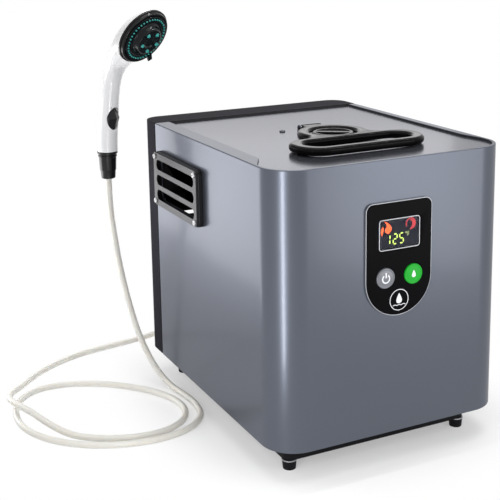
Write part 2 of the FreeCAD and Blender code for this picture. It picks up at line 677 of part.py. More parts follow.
def vent_frame():
    """Black spacer frame between casing and plate, with a boss at each corner."""
    ring = prism(grille_outline(0), FRAME_FACE, LEFT, "YZ").cut(
        prism(grille_outline(GRILLE_WALL), FRAME_FACE - 1, LEFT + 1, "YZ"))
    bosses = [rod(4.2, (FRAME_FACE, y, z), (LEFT, y, z)) for y, z in grille_screw_places()]
    holes = [rod(1.6, (FRAME_FACE - 1, y, z), (LEFT + 1, y, z)) for y, z in grille_screw_places()]
    return cut(fuse([ring] + bosses), holes)


def vent_plate():
    """Brushed cover plate with folded edges and three long slots."""
    inset = 0.6
    plate = prism(grille_outline(inset), PLATE_FACE, FRAME_FACE, "YZ")
    plate = plate.cut(prism(grille_outline(inset + PLATE_SHEET), PLATE_FACE + PLATE_SHEET, FRAME_FACE + 1, "YZ"))
    seats = [rod(3.6, (PLATE_FACE + 0.2, y, z), (FRAME_FACE, y, z)) for y, z in grille_screw_places()]
    holes = [slot(SLOT_FRONT, SLOT_REAR, GRILLE_Z + i * SLOT_PITCH, SLOT_H, PLATE_FACE - 1, FRAME_FACE + 1, "YZ")
             for i in (-1, 0, 1)]
    holes += [rod(1.6, (PLATE_FACE - 1, y, z), (FRAME_FACE + 1, y, z)) for y, z in grille_screw_places()]
    return cut(fuse([plate] + seats), holes)


def vent_screws():
    """Bright pan-head screws through plate and frame into the casing."""
    return [fuse([pan_head(GRILLE_SCREW_R, SCREW_HEAD, (PLATE_FACE, y, z), (-1, 0, 0)),
                  rod(1.5, (PLATE_FACE, y, z), (LEFT + SHEET + 3, y, z))]) for y, z in grille_screw_places()]


# ---------------------------------------------------------------- folding handle
def web_outline():
    """Neck between ring and loop, with a concave arc on each side."""
    cy = LOOP_REAR + WEB_R
    reach = RING_R + WEB_R
    cx = math.sqrt(reach ** 2 - (RING_Y - cy) ** 2)
    touch = V(0, RING_Y, 0) + (V(cx, cy, 0) - V(0, RING_Y, 0)) * (RING_R / reach)
    foot = V(cx, LOOP_REAR, 0)
    a0 = math.atan2(touch.y - cy, touch.x - cx)
    a1 = -math.pi / 2
    a0 = a0 - 2 * math.pi if a0 > 0 else a0
    mid = V(cx + WEB_R * math.cos((a0 + a1) / 2), cy + WEB_R * math.sin((a0 + a1) / 2), 0)

    def flip(p):
        return V(-p.x, p.y, 0)
    sunk = V(cx, LOOP_REAR - 1, 0)
    edges = [Part.Arc(touch, mid, foot), Part.LineSegment(foot, sunk), Part.LineSegment(sunk, flip(sunk)),
             Part.LineSegment(flip(sunk), flip(foot)), Part.Arc(flip(foot), flip(mid), flip(touch)),
             Part.LineSegment(flip(touch), touch)]
    return Part.Wire([e.toShape() for e in edges])


def sector(r_in, r_out, z0, z1, middle, half):
    """Piece of a flat ring round the lock post, middle and half in degrees."""
    ring = rod(r_out, (0, RING_Y, z0), (0, RING_Y, z1)).cut(rod(r_in, (0, RING_Y, z0 - 1), (0, RING_Y, z1 + 1)))
    far = 3 * r_out
    a0, a1 = math.radians(middle - half), math.radians(middle + half)
    wedge = Part.makePolygon([V(0, RING_Y, 0), V(far * math.cos(a0), RING_Y + far * math.sin(a0), 0),
                              V(far * math.cos(a1), RING_Y + far * math.sin(a1), 0), V(0, RING_Y, 0)])
    return ring.common(prism(wedge, z0 - 1, z1 + 1))


def carry_handle():
    """Moulded handle: finger loop in front, ring round the lock knob, hinge barrel behind."""
    low, high = PLATE_Z + HANDLE_LIFT, PLATE_Z + HANDLE_LIFT + HANDLE_THICK
    loop = prism(outline(-LOOP_HALF, LOOP_HALF, LOOP_FRONT, LOOP_REAR,
                         [LOOP_FRONT_R, LOOP_FRONT_R, LOOP_REAR_R, LOOP_REAR_R]), low, high)
    body = fuse([loop, rod(RING_R, (0, RING_Y, low), (0, RING_Y, high)), prism(web_outline(), low, high)])
    grip_r = (GRIP_REAR - GRIP_FRONT) / 2 - 0.01
    body = cut(body, [prism(outline(-GRIP_HALF, GRIP_HALF, GRIP_FRONT, GRIP_REAR, [grip_r] * 4), low - 1, high + 1),
                      rod(RING_HOLE_R, (0, RING_Y, low - 1), (0, RING_Y, high + 1))])
    rims = [e for e in body.Edges if e.BoundBox.ZLength < 1e-3]
    body = body.makeFillet(HANDLE_ROUND, rims)
    catches = [sector(CATCH_R, RING_HOLE_R + 2, low, PLATE_Z + CATCH_TOP, a, CATCH_HALF) for a in (0, 180)]
    half = HINGE_KNUCKLE_W / 2
    barrel = [rod(HINGE_KNUCKLE_R, (-half, HINGE_Y, HINGE_Z), (half, HINGE_Y, HINGE_Z)),
              box(-half, half, RING_Y + RING_R - 7, HINGE_Y, low + 0.4, HINGE_Z + HINGE_KNUCKLE_R - 0.6)]
    body = fuse([body] + catches + barrel)
    return body.cut(rod(HINGE_PIN_R + RUNNING, (-half - 1, HINGE_Y, HINGE_Z), (half + 1, HINGE_Y, HINGE_Z)))


def hinge_bracket():
    """Steel bracket under the top plate; its two ears stand up through the plate."""
    under = PLATE_Z - SHEET
    base = box(-40, 40, HINGE_Y - 10, 32, under - BRACKET_SHEET, under)
    ears = []
    for side in (-1, 1):
        x0 = side * (HINGE_KNUCKLE_W / 2 + CLEAR)
        x1 = side * (HINGE_KNUCKLE_W / 2 + CLEAR + EAR_THICK)
        lo, hi = min(x0, x1), max(x0, x1)
        ears.append(box(lo, hi, HINGE_Y - HINGE_KNUCKLE_R, HINGE_Y + HINGE_KNUCKLE_R, under - 0.5, HINGE_Z))
        ears.append(rod(HINGE_KNUCKLE_R, (lo, HINGE_Y, HINGE_Z), (hi, HINGE_Y, HINGE_Z)))
    bracket = fuse([base] + ears)
    far = HINGE_KNUCKLE_W
    holes = [rod(HINGE_PIN_R, (-far, HINGE_Y, HINGE_Z), (far, HINGE_Y, HINGE_Z))]
    holes += [rod(1.8, (side * BRACKET_SCREW_X, BRACKET_SCREW_Y, under - 5),
                  (side * BRACKET_SCREW_X, BRACKET_SCREW_Y, under + 1)) for side in (-1, 1)]
    return cut(bracket, holes)


def hinge_pin():
    """Steel pin pressed into the bracket's ears."""
    reach = HINGE_KNUCKLE_W / 2 + CLEAR + EAR_THICK
    head = rod(2.6, (reach, HINGE_Y, HINGE_Z), (reach + 1, HINGE_Y, HINGE_Z))
    return fuse([rod(HINGE_PIN_R, (-reach - 1, HINGE_Y, HINGE_Z), (reach, HINGE_Y, HINGE_Z)), head])


def bracket_screws():
    """Bright screws on the top plate that hold the hinge bracket."""
    return [fuse([pan_head(3.6, SCREW_HEAD, (side * BRACKET_SCREW_X, BRACKET_SCREW_Y, PLATE_Z), (0, 0, 1)),
                  rod(1.7, (side * BRACKET_SCREW_X, BRACKET_SCREW_Y, PLATE_Z - SHEET - BRACKET_SHEET - 2),
                      (side * BRACKET_SCREW_X, BRACKET_SCREW_Y, PLATE_Z))]) for side in (-1, 1)]


def lock_post():
    """Turned post on the top plate that the lock knob turns on."""
    return fuse([rod(POST_R, (0, RING_Y, PLATE_Z), (0, RING_Y, PLATE_Z + KNOB_BOTTOM - FLAT_GAP)),
                 rod(SPIGOT_R, (0, RING_Y, PLATE_Z), (0, RING_Y, PLATE_Z + KNOB_BOTTOM + 1.0)),
                 rod(SPIGOT_R - 1, (0, RING_Y, PLATE_Z - SHEET - 4), (0, RING_Y, PLATE_Z))])


def lock_knob():
    """Turn-lock inside the handle's ring: finger bar between two pockets, two locking tabs."""
    low, high = PLATE_Z + KNOB_BOTTOM, PLATE_Z + KNOB_TOP
    disc = rod(KNOB_R, (0, RING_Y, low), (0, RING_Y, high))
    rims = [e for e in disc.Edges if e.BoundBox.ZLength < 1e-3 and e.BoundBox.ZMin > high - 0.1]
    disc = disc.makeFillet(2.0, rims)
    tabs = [sector(KNOB_R - 2, TAB_R, PLATE_Z + TAB_LOW, PLATE_Z + TAB_HIGH, KNOB_REST + a, TAB_HALF) for a in (0, 180)]
    bar = box(-KNOB_R, KNOB_R, RING_Y - KNOB_BAR / 2, RING_Y + KNOB_BAR / 2, low, high + 1)
    bar.rotate(V(0, RING_Y, 0), V(0, 0, 1), KNOB_REST)
    pockets = rod(KNOB_POCKET_R, (0, RING_Y, high - KNOB_POCKET_DEPTH), (0, RING_Y, high + 1)).cut(bar)
    bore = rod(SPIGOT_R + RUNNING, (0, RING_Y, low - 1), (0, RING_Y, PLATE_Z + KNOB_BOTTOM + 1.2))
    return cut(fuse([disc] + tabs), [pockets, bore])


# ---------------------------------------------------------------- rear fittings
def fitting(x, thread_r, bore_r):
    """Threaded stub through the rear cover, with a hexagon seated on it."""
    body = fuse([rod(thread_r, (x, REAR - FITTING_IN, FITTING_Z), (x, REAR + FITTING_OUT, FITTING_Z)),
                 hexagon(thread_r + 3.6, (x, REAR, FITTING_Z), (x, REAR + HEX_THICK, FITTING_Z)),
                 hexagon(thread_r + 3.6, (x, REAR - SHEET - HEX_THICK, FITTING_Z), (x, REAR - SHEET, FITTING_Z))])
    return body.cut(rod(bore_r, (x, REAR - FITTING_IN + 4, FITTING_Z), (x, REAR + FITTING_OUT + 1, FITTING_Z)))


def hose_nut():
    """Knurled coupling nut and tail that hold the hose on the water outlet."""
    x, z = OUTLET_X, FITTING_Z
    mouth, back = REAR + HEX_THICK + 1.0, HOSE_ROUTE[0][1]
    nut = fuse([rod(THREAD_R + 3.4, (x, mouth, z), (x, REAR + FITTING_OUT + 4, z)),
                taper(THREAD_R - 1, HOSE_R + 1.6, (x, REAR + FITTING_OUT + 4, z), (x, back, z))])
    return nut.cut(rod(THREAD_R + 0.2, (x, mouth - 1, z), (x, REAR + FITTING_OUT + 0.3, z)))


SOCKET_W = 18.0
SOCKET_H = 14.0
CAP_W = 26.0
CAP_H = 21.0
CAP_THICK = 3.0
CAP_PIN_R = 0.9
CAP_PIN_RISE = 12.6


def charge_socket():
    """Low-voltage charging socket set into the rear cover, with hinge lugs for its cap."""
    shell = box(SOCKET_X - SOCKET_W / 2, SOCKET_X + SOCKET_W / 2, REAR - 16, REAR + 1.0,
                SOCKET_Z - SOCKET_H / 2, SOCKET_Z + SOCKET_H / 2)
    flange = box(SOCKET_X - CAP_W / 2, SOCKET_X + CAP_W / 2, REAR, REAR + 1.4,
                 SOCKET_Z - CAP_H / 2, SOCKET_Z + CAP_PIN_RISE + 2.4)
    lugs = [box(SOCKET_X + side * 10 - 1.5, SOCKET_X + side * 10 + 1.5, REAR, REAR + 5.2,
                SOCKET_Z + CAP_PIN_RISE - 2.2, SOCKET_Z + CAP_PIN_RISE + 2.2) for side in (-1, 1)]
    pin = rod(CAP_PIN_R, (SOCKET_X - 10, REAR + 3.2, SOCKET_Z + CAP_PIN_RISE),
              (SOCKET_X + 10, REAR + 3.2, SOCKET_Z + CAP_PIN_RISE))
    well = rod(4.4, (SOCKET_X, REAR - 11, SOCKET_Z), (SOCKET_X, REAR + 2, SOCKET_Z))
    contact = rod(1.2, (SOCKET_X, REAR - 12, SOCKET_Z), (SOCKET_X, REAR - 1, SOCKET_Z))
    return fuse([cut(fuse([shell, flange] + lugs), [well]), contact, pin])


def socket_cap():
    """Rubber cap that swings up off the charging socket."""
    y0 = REAR + 1.4 + FLAT_GAP
    flap = box(SOCKET_X - CAP_W / 2 + 1, SOCKET_X + CAP_W / 2 - 1, y0, y0 + CAP_THICK,
               SOCKET_Z - CAP_H / 2 - 1, SOCKET_Z + CAP_PIN_RISE - 3.9)
    arm = box(SOCKET_X - 7.5, SOCKET_X + 7.5, y0, y0 + CAP_THICK, SOCKET_Z + CAP_PIN_RISE - 4.6, SOCKET_Z + CAP_PIN_RISE)
    barrel = rod(1.6, (SOCKET_X - 7.5, REAR + 3.2, SOCKET_Z + CAP_PIN_RISE),
                 (SOCKET_X + 7.5, REAR + 3.2, SOCKET_Z + CAP_PIN_RISE))
    plug = rod(4.0, (SOCKET_X, y0 - 1.5, SOCKET_Z), (SOCKET_X, y0 + 1, SOCKET_Z))
    bore = rod(CAP_PIN_R + RUNNING, (SOCKET_X - 9, REAR + 3.2, SOCKET_Z + CAP_PIN_RISE),
               (SOCKET_X + 9, REAR + 3.2, SOCKET_Z + CAP_PIN_RISE))
    return fuse([flap, arm, barrel, plug]).cut(bore)


# ---------------------------------------------------------------- burner, exchanger, exhaust
def burner_tray():
    """Sheet-metal tray on four legs that holds the burner bars."""
    tray = box(BURN_LEFT, BURN_RIGHT, BURN_FRONT, BURN_REAR, BURNER_Z - 3, CHAMBER_Z)
    tray = tray.cut(box(BURN_LEFT + STACK_SHEET, BURN_RIGHT - STACK_SHEET, BURN_FRONT + STACK_SHEET,
                        BURN_REAR - STACK_SHEET, BURNER_Z - 1.5, CHAMBER_Z + 1))
    air = slot(BURN_LEFT + 12, BURN_RIGHT - 12, BURN_Y, 40.0, BURNER_Z - 4, BURNER_Z, "XY")
    gas = [rod(5.0, (x, BURN_REAR - 3, BURNER_Z + 10), (x, BURN_REAR + 1, BURNER_Z + 10)) for x in burner_places()]
    legs = []
    for x in (BURN_LEFT, BURN_RIGHT - 8):
        for y in (BURN_FRONT, BURN_REAR - 8):
            legs.append(box(x, x + 8, y, y + 8, PAN_TOP, BURNER_Z - 2))
    return fuse([cut(tray, [air] + gas)] + legs)


def burner_places():
    """Middle of each burner bar across the tray."""
    pitch = (BURN_RIGHT - BURN_LEFT - 14) / BURNER_COUNT
    return [BURN_LEFT + 7 + pitch * (i + 0.5) for i in range(BURNER_COUNT)]


def burner_bars():
    """Row of slotted burner bars with round crowns."""
    bars = []
    for x in burner_places():
        r = BURNER_THICK / 2
        z1 = BURNER_Z - 1.5 + BURNER_HEIGHT
        bar = box(x - r, x + r, BURN_FRONT + 4, BURN_REAR - 4, BURNER_Z - 1.5, z1 - r)
        crown = rod(r, (x, BURN_FRONT + 4, z1 - r), (x, BURN_REAR - 4, z1 - r))
        bars.append(fuse([bar, crown]).cut(rod(3.2, (x, BURN_REAR - 30, BURNER_Z + 10), (x, BURN_REAR, BURNER_Z + 10))))
    return bars


def gas_manifold():
    """Square rail behind the tray with one jet for each burner bar."""
    z = BURNER_Z + 10
    y = BURN_REAR + 12
    rail = box(BURN_LEFT + 4, BURN_RIGHT - 4, y - 6, y + 6, z - 6, z + 6)
    jets = [taper(3.4, 2.2, (x, y - 5, z), (x, BURN_REAR - 8, z)) for x in burner_places()]
    feet_ = [box(x, x + 10, BURN_REAR, y, z - 9, z - 6) for x in (BURN_LEFT + 30, BURN_RIGHT - 40)]
    return fuse([rail] + jets + feet_)


VALVE_W = 36.0
VALVE_H = 34.0
COIL_LONG = 36.0
GAS_PORT_Z = 84.0


def gas_valve():
    """Gas regulator valve behind the gas inlet, with its solenoid on top."""
    y1 = REAR - FITTING_IN
    y0 = BURN_REAR + 24
    top = FITTING_Z + VALVE_H / 2
    block = box(GAS_X - VALVE_W / 2, GAS_X + VALVE_W / 2, y0, y1, FITTING_Z - VALVE_H / 2, top)
    coil = rod(11.0, (GAS_X - 2, (y0 + y1) / 2, top), (GAS_X - 2, (y0 + y1) / 2, top + COIL_LONG))
    foot = box(GAS_X - 14, GAS_X + 14, y0 + 4, y1 - 2, PAN_TOP, FITTING_Z - VALVE_H / 2)
    return fuse([block, coil, foot])


def gas_pipe():
    """Short pipe from the valve up into the burner rail."""
    x, y = GAS_X - 2, BURN_REAR + 12
    return swept([(x, y + 12, GAS_PORT_Z), (x, y, GAS_PORT_Z), (x, y, BURNER_Z + 4)], GAS_PIPE_R, "gas_pipe")


def combustion_chamber():
    """Open-ended sheet-metal shaft above the burners."""
    shaft = box(BURN_LEFT, BURN_RIGHT, BURN_FRONT, BURN_REAR, CHAMBER_Z, FIN_Z)
    return shaft.cut(box(BURN_LEFT + STACK_SHEET, BURN_RIGHT - STACK_SHEET, BURN_FRONT + STACK_SHEET,
                         BURN_REAR - STACK_SHEET, CHAMBER_Z - 1, FIN_Z + 1))


def water_rows():
    """Depths of the three water tubes."""
    pitch = (BURN_REAR - BURN_FRONT) / 3
    return [BURN_FRONT + pitch * (i + 0.5) for i in range(3)]


def exchanger_fins():
    """Copper frame and fins; the water tubes pass through with a soldered fit."""
    z1 = FIN_Z + FIN_HEIGHT
    frame = box(BURN_LEFT, BURN_RIGHT, BURN_FRONT, BURN_REAR, FIN_Z, z1).cut(
        box(BURN_LEFT + 1.5, BURN_RIGHT - 1.5, BURN_FRONT + 1.5, BURN_REAR - 1.5, FIN_Z - 1, z1 + 1))
    pitch = (BURN_RIGHT - BURN_LEFT) / (FIN_COUNT + 1)
    fins = [box(BURN_LEFT + pitch * (i + 1) - FIN_THICK / 2, BURN_LEFT + pitch * (i + 1) + FIN_THICK / 2,
                BURN_FRONT + 1, BURN_REAR - 1, FIN_Z + 2, z1 - 2) for i in range(FIN_COUNT)]
    z = FIN_Z + FIN_HEIGHT / 2
    holes = [rod(WATER_TUBE_R, (BURN_LEFT - 1, y, z), (BURN_RIGHT + 1, y, z)) for y in water_rows()]
    return cut(fuse([frame] + fins), holes)


def exchanger_tube():
    """Copper water tube, three passes through the fins."""
    z = FIN_Z + FIN_HEIGHT / 2
    rows = water_rows()
    bend = (rows[1] - rows[0]) / 2
    left, right = BURN_LEFT - 4, BURN_RIGHT + 4
    edges = [Part.LineSegment(V(left - 14, rows[0], z), V(right, rows[0], z)),
             Part.Arc(V(right, rows[0], z), V(right + bend, rows[0] + bend, z), V(right, rows[1], z)),
             Part.LineSegment(V(right, rows[1], z), V(left, rows[1], z)),
             Part.Arc(V(left, rows[1], z), V(left - bend, rows[1] + bend, z), V(left, rows[2], z)),
             Part.LineSegment(V(left, rows[2], z), V(right + 4, rows[2], z))]
    path = Part.Wire([e.toShape() for e in edges])
    section = Part.Wire(Part.makeCircle(WATER_TUBE_R, V(left - 14, rows[0], z), V(1, 0, 0)))
    return path.makePipeShell([section], True, False)


def exhaust_hood():
    """Hood over the exchanger that turns the hot gases out through the left side."""
    lo_x = LEFT + SHEET + FLAT_GAP
    y0, y1 = BURN_FRONT - 2, BURN_REAR + 2
    outer = fuse([box(lo_x, BURN_RIGHT + 1.2, y0, y1, HOOD_Z, HOOD_TOP),
                  box(BURN_LEFT - 1.2, BURN_RIGHT + 1.2, y0, y1, FIN_Z + FIN_HEIGHT - 6, HOOD_Z + 1)])
    inner = [box(lo_x - 1, BURN_RIGHT + 0.2, y0 + 1, y1 - 1, HOOD_Z + 1, HOOD_TOP - 1),
             box(BURN_LEFT - 0.2, BURN_RIGHT + 0.2, y0 + 1, y1 - 1, FIN_Z, HOOD_Z + 2)]
    return cut(outer, inner)


def igniter():
    """Ceramic spark electrode and flame sensor on one bracket in the chamber's front wall."""
    z = CHAMBER_Z + 8
    x = BURN_X
    holder = box(x - 20, x + 20, BURN_FRONT - 1.6, BURN_FRONT, z - 7, z + 9)
    rods = [rod(3.5, (x + dx, BURN_FRONT - 20, z), (x + dx, BURN_FRONT, z)) for dx in (-10, 10)]
    return fuse([holder] + rods)


def thermal_cutout():
    """Over-heat switch clipped to the exchanger frame."""
    z = FIN_Z + 14
    return fuse([box(BURN_X - 8, BURN_X + 8, BURN_FRONT - 1.0, BURN_FRONT, z - 10, z + 10),
                 rod(7.0, (BURN_X, BURN_FRONT - 9, z), (BURN_X, BURN_FRONT, z))])


# ---------------------------------------------------------------- water side and power
FLOW_Y = REAR - 50
ROTOR_R = 7.0
PUMP_X = LEFT + 40
PUMP_Y = BURN_FRONT + 30
PUMP_PORT = 29.0          # outlet face above the pump's axis


def flow_sensor():
    """Round meter body in the inlet line, with the chamber for its rotor."""
    x, z = INLET_X, FITTING_Z
    body = fuse([rod(13.0, (x, FLOW_Y, z - 9), (x, FLOW_Y, z + 9)),
                 rod(7.0, (x, FLOW_Y + 10, z), (x, REAR - FITTING_IN, z)),
                 rod(7.0, (x - 30, FLOW_Y, z), (x - 10, FLOW_Y, z)),
                 rod(6.0, (x, FLOW_Y, PAN_TOP), (x, FLOW_Y, z - 8))])
    chamber = rod(ROTOR_R + 2.4, (x, FLOW_Y, z - 6), (x, FLOW_Y, z + 6))
    spindle = rod(1.2, (x, FLOW_Y, z - 7), (x, FLOW_Y, z + 7))
    return fuse([body.cut(chamber), spindle])


def flow_rotor():
    """Paddle wheel that counts the water flow."""
    x, z = INLET_X, FITTING_Z
    hub = rod(2.8, (x, FLOW_Y, z - 4.6), (x, FLOW_Y, z + 4.6))
    blades = []
    for i in range(6):
        blade = box(x + 1, x + ROTOR_R, FLOW_Y - 0.6, FLOW_Y + 0.6, z - 4.2, z + 4.2)
        blade.rotate(V(x, FLOW_Y, 0), V(0, 0, 1), 60 * i)
        blades.append(blade)
    return fuse([hub] + blades).cut(rod(1.2 + RUNNING, (x, FLOW_Y, z - 6), (x, FLOW_Y, z + 6)))


def water_pump():
    """Twelve-volt booster pump: motor can with its pump head."""
    x, y, z = PUMP_X, PUMP_Y, FITTING_Z
    motor = rod(19.0, (x, y - 66, z), (x, y, z))
    head = rod(23.0, (x, y, z), (x, y + 26, z))
    chamber = rod(17.0, (x, y + 6, z), (x, y + 20, z))
    shaft = rod(2.0, (x, y + 3, z), (x, y + 23, z))
    ports = [rod(6.0, (x, y + 25, z), (x, y + 34, z)), rod(6.0, (x, y + 13, z + 18), (x, y + 13, z + PUMP_PORT))]
    feet_ = [box(x - 16, x + 16, y - 60, y - 44, PAN_TOP, z - 12), box(x - 16, x + 16, y + 4, y + 22, PAN_TOP, z - 18)]
    return fuse([fuse([motor, head] + ports + feet_).cut(chamber), shaft])


def pump_impeller():
    """Impeller inside the pump head."""
    x, y, z = PUMP_X, PUMP_Y + 13, FITTING_Z
    disc = rod(15.5, (x, y - 5, z), (x, y - 3, z))
    hub = rod(4.5, (x, y - 5, z), (x, y + 5, z))
    vanes = []
    for i in range(6):
        vane = box(x + 3, x + 15, y - 4, y + 4, z - 0.8, z + 0.8)
        vane.rotate(V(x, y, z), V(0, 1, 0), 60 * i)
        vanes.append(vane)
    return fuse([disc, hub] + vanes).cut(rod(2.0 + RUNNING, (x, y - 8, z), (x, y + 8, z)))


def pump_pipe():
    """Short hose from flow meter to pump."""
    x0 = INLET_X - 30
    return swept([(x0, FLOW_Y, FITTING_Z), (x0 - 16, FLOW_Y, FITTING_Z), (PUMP_X, FLOW_Y - 18, FITTING_Z),
                  (PUMP_X, PUMP_Y + 34, FITTING_Z)], PIPE_R, "pump_pipe")


def cold_pipe():
    """Cold pipe from the pump head up to the exchanger's front row."""
    z1 = FIN_Z + FIN_HEIGHT / 2
    y1 = water_rows()[0]
    x1 = BURN_LEFT - 18
    return swept([(x1, y1, z1), (x1 - 14, y1, z1), (x1 - 24, y1, z1 - 14), (x1 - 24, y1, z1 - 50),
                  (x1 - 24, y1 + 8, z1 - 86), (PUMP_X, PUMP_Y + 13, FITTING_Z + 52),
                  (PUMP_X, PUMP_Y + 13, FITTING_Z + PUMP_PORT)], PIPE_R, "cold_pipe")


def hot_pipe():
    """Hot pipe from the exchanger's rear row down to the water outlet."""
    z1 = FIN_Z + FIN_HEIGHT / 2
    y1 = water_rows()[2]
    x1 = BURN_RIGHT + 8
    return swept([(x1, y1, z1), (x1 + 17, y1, z1), (x1 + 21, y1 + 8, z1 - 18), (x1 + 18, y1 + 24, z1 - 48),
                  (x1 + 4, y1 + 48, z1 - 78), (x1 - 30, y1 + 58, z1 - 100), (x1 - 74, y1 + 58, z1 - 120),
                  (OUTLET_X + 4, y1 + 54, FITTING_Z + 26), (OUTLET_X, REAR - FITTING_IN - 19, FITTING_Z),
                  (OUTLET_X, REAR - FITTING_IN, FITTING_Z)], PIPE_R, "hot_pipe")


BATTERY_X0, BATTERY_X1 = LEFT + 12, LEFT + 82
BATTERY_Y0, BATTERY_Y1 = FRONT + 42, FRONT + 142
BATTERY_HEIGHT = 66.0
SPARK_X, SPARK_Y = 25.0, FRONT + 107
SPARK_HALF_W, SPARK_HALF_D, SPARK_HEIGHT = 35.0, 25.0, 34.0


def battery_pack():
    """Rechargeable battery in its plastic sleeve."""
    return box(BATTERY_X0, BATTERY_X1, BATTERY_Y0, BATTERY_Y1, PAN_TOP, PAN_TOP + BATTERY_HEIGHT)


def battery_strap():
    """Sheet-metal strap over the battery, screwed to the pan."""
    y0, y1 = (BATTERY_Y0 + BATTERY_Y1) / 2 - 12, (BATTERY_Y0 + BATTERY_Y1) / 2 + 12
    top = PAN_TOP + BATTERY_HEIGHT
    outer = box(BATTERY_X0 - 1.2, BATTERY_X1 + 1.2, y0, y1, PAN_TOP, top + 1.2)
    strap = outer.cut(box(BATTERY_X0, BATTERY_X1, y0 - 1, y1 + 1, PAN_TOP - 1, top))
    return fuse([strap, box(BATTERY_X1, BATTERY_X1 + 14, y0, y1, PAN_TOP, PAN_TOP + 1.2)])


def spark_module():
    """Ignition box on the pan behind the control panel."""
    body = box(SPARK_X - SPARK_HALF_W, SPARK_X + SPARK_HALF_W, SPARK_Y - SPARK_HALF_D, SPARK_Y + SPARK_HALF_D,
               PAN_TOP, PAN_TOP + SPARK_HEIGHT)
    socket = box(SPARK_X - 25, SPARK_X - 9, SPARK_Y + SPARK_HALF_D, SPARK_Y + SPARK_HALF_D + 8,
                 PAN_TOP + 8, PAN_TOP + 20)
    return fuse([body, socket])


# ---------------------------------------------------------------- hand shower
def to_handset(shape):
    """Turn and move a piece from the shower's own frame (handle up Z, face towards -Y)."""
    placed = shape.copy()
    placed.rotate(V(0, 0, 0), V(0, 0, 1), HANDSET_TURN)
    placed.translate(V(HANDSET_X, HANDSET_Y, HANDSET_Z))
    return placed


DIP = math.radians(FACE_DIP)
FACE_N = V(0, -math.cos(DIP), -math.sin(DIP))      # outward normal of the face, in the shower's frame
FACE_C = V(0, -FACE_S, FACE_Z)
# Shell of the hand shower, section by section from the handle's foot to the rim behind the face:
# back line, front line (each ahead, up) and half width.
SHELL_SECTIONS = [
    ((-12.0, 0.0), (14.0, 0.0), 13.0), ((-9.9, 31.0), (15.9, 29.0), 12.9), ((-6.4, 53.7), (18.4, 50.3), 12.5),
    ((-1.8, 80.4), (21.8, 75.6), 12.1), ((4.8, 102.0), (25.3, 91.5), 12.7), ((14.3, 117.6), (28.8, 102.0), 15.1),
    ((25.9, 132.1), (33.4, 109.0), 19.5), ((38.1, 145.7), (39.0, 113.8), 25.4),
    ((49.5, 157.0), (44.2, 117.0), 30.6), ((59.8, 167.8), (48.6, 119.0), 34.4),
    ((70.1, 177.4), (51.6, 120.1), 36.6),
]


def face_disc(radius, back, front):
    """Disc round the face's axis between two depths along its normal."""
    a = FACE_C + FACE_N * back
    return Part.makeCylinder(radius, front - back, a, FACE_N)


def shell_ring(back, front, half):
    """Ellipse across the shell between its back line and its front line."""
    b, f = V(0, -back[0], back[1]), V(0, -front[0], front[1])
    middle, across = (b + f) * 0.5, (b - f) * 0.5
    normal = V(1, 0, 0).cross(across).normalize()
    frame = FreeCAD.Matrix(half, across.x, normal.x, middle.x, 0, across.y, normal.y, middle.y,
                           0, across.z, normal.z, middle.z, 0, 0, 0, 1)
    return Part.Wire(Part.makeCircle(1.0).transformGeometry(frame).Edges)


def handset_shell():
    """White shell: handle and head in one sweep, closed by the round rim behind the face."""
    up = V(0, -math.sin(DIP), math.cos(DIP))
    rim = FACE_C - FACE_N * BEZEL_DEPTH
    last = ((-(rim + up * FACE_R).y, (rim + up * FACE_R).z), (-(rim - up * FACE_R).y, (rim - up * FACE_R).z), FACE_R)
    shell = Part.makeLoft([shell_ring(*ring) for ring in SHELL_SECTIONS + [last]], True, False)
    print("shell volume cm3", round(shell.Volume / 1000, 1))
    return shell.cut(switch_prism(0.35, 9.6, 40))


def switch_prism(grow, s0, s1):
    """Oval column through the front of the handle at the flow button."""
    ellipse = Part.Ellipse(V(0, SWITCH_Z, 0), SWITCH_HALF_H + grow, SWITCH_HALF_W + grow)
    wire = Part.Wire(ellipse.toShape())
    wire.rotate(V(0, SWITCH_Z, 0), V(0, 0, 1), 90)
    return prism(wire, -s1, -s0, "XZ")


def flow_button():
    """Oval push button with four facets that meet in a raised middle."""
    base = 5.0
    peak = V(0, -SWITCH_FACE - 1.2, SWITCH_Z)
    w, h = SWITCH_HALF_W + 6, SWITCH_HALF_H + 8
    depth = -(base + 7.2)
    corners = [V(-w, depth, SWITCH_Z), V(0, depth, SWITCH_Z - h), V(w, depth, SWITCH_Z), V(0, depth, SWITCH_Z + h)]
    back = [V(c.x, -9.6 - SWITCH_TRAVEL - 0.3, c.z) for c in corners]
    faces = [Part.Face(Part.makePolygon([corners[i], corners[(i + 1) % 4], peak, corners[i]])) for i in range(4)]
    faces += [Part.Face(Part.makePolygon([corners[i], back[i], back[(i + 1) % 4], corners[(i + 1) % 4], corners[i]]))
              for i in range(4)]
    faces.append(Part.Face(Part.makePolygon(back + back[:1])))
    gem = Part.Solid(Part.Shell(faces))
    if gem.Volume < 0:
        gem.reverse()
    return gem.common(switch_prism(0, 9.6 + SWITCH_TRAVEL + 0.3, 40))


def spray_bezel():
    """Black rim round the spray face, in two steps."""
    step = -BEZEL_DEPTH + BEZEL_STEP
    rim = fuse([face_disc(FACE_R, -BEZEL_DEPTH, step), face_disc(BEZEL_STEP_R, -BEZEL_DEPTH, 0)])
    edges = [e for e in rim.Edges if e.Length > 10 and (e.CenterOfMass - FACE_C).dot(FACE_N) > step - 0.01
             and e.BoundBox.DiagonalLength > 10 and len(e.Vertexes) == 1]
    outer = [e for e in edges if abs(e.Curve.Radius - FACE_R) < 0.01 or (e.CenterOfMass - FACE_C).dot(FACE_N) > -0.01]
    rim = rim.makeFillet(1.1, outer)
    return rim.cut(face_disc(FACE_R - BEZEL_WALL, -SPRAY_THICK, 1))


